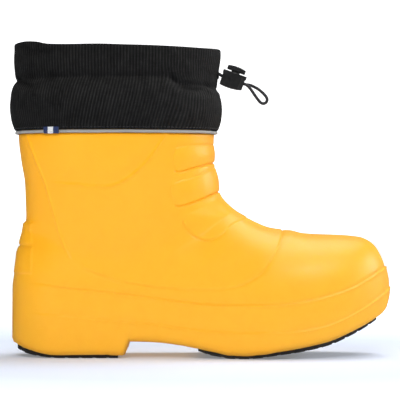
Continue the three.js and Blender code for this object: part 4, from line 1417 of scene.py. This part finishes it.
def make_floor():
    """A pale floor in a round white wall. Neither is mirrored in the boot, and the wall doesn't light it."""
    flat = [(0.0, 0.0), (0.5, 0.0), (STAGE_RADIUS, 0.0)]
    # bluish, so that the yellow light which the boot throws into its shadow comes out grey: a painted shadow
    # colour
    _, paper = stage_sheet("floor", flat, (0.62, 0.7, 0.86), FLOOR_GLOW)
    away = paper.add("ShaderNodeVectorMath", operation="LENGTH")
    paper.feed(away.inputs[0], paper.position)
    glow = paper.span(away.outputs["Value"], 0.25, 0.9, FLOOR_GLOW, FAR_GLOW)
    paper.feed(paper.shader.inputs["Emission Strength"], glow)
    upright = [(STAGE_RADIUS, 0.0), (STAGE_RADIUS, WALL_HEIGHT)]
    wall, _ = stage_sheet("wall", upright, (0.6, 0.6, 0.6), 1.0)
    wall.visible_diffuse = False


def area_light(name, location, target, size, power, gloss=True, light_up=True):
    """A soft lamp, which may light things up, or be mirrored in them as gloss, or both."""
    data = bpy.data.lights.new(name, "AREA")
    data.shape = "RECTANGLE"
    data.size, data.size_y = size
    data.energy = power
    light = bpy.data.objects.new(name, data)
    light.location = location
    light.rotation_euler = (Vector(target) - Vector(location)).to_track_quat("-Z", "Y").to_euler()
    light.visible_camera = False
    light.visible_glossy = gloss
    light.visible_diffuse = light_up
    scene.collection.objects.link(light)


def make_light():
    """The room's own light and five soft lamps."""
    world = bpy.data.worlds.new("studio")
    scene.world = world
    world.use_nodes = True
    tree = world.node_tree
    background = tree.nodes["Background"]
    background.inputs[0].default_value = (1, 1, 1, 1)
    # the room is darker on the heel's side
    coordinates = tree.nodes.new("ShaderNodeTexCoord")
    split = tree.nodes.new("ShaderNodeSeparateXYZ")
    span = tree.nodes.new("ShaderNodeMapRange")
    for socket, number in zip(span.inputs[1:5], (-0.8, 0.6, 0.08, 0.3)):
        socket.default_value = number
    tree.links.new(coordinates.outputs["Generated"], split.inputs[0])
    tree.links.new(split.outputs["X"], span.inputs[0])
    tree.links.new(span.outputs[0], background.inputs[1])
    area_light("overhead", (0.35, 0.35, 1.5), (0, 0, 0.1), (1.2, 1.0), 16)
    area_light("right", (1.5, 0.25, 0.55), (0, 0, 0.12), (0.5, 0.5), 10)
    area_light("front", (-0.1, -2.1, 1.35), (0, 0, 0.12), (1.1, 1.0), 31, gloss=False)
    area_light("low_left", (-1.2, -1.6, 0.3), (-0.05, 0, 0.06), (0.8, 0.5), 8, gloss=False)
    area_light("glint", (1.0, -1.3, 1.7), (0.05, 0, 0.1), (0.5, 0.4), 20, light_up=False)


make_floor()
make_light()
scene.view_settings.view_transform = "Standard"
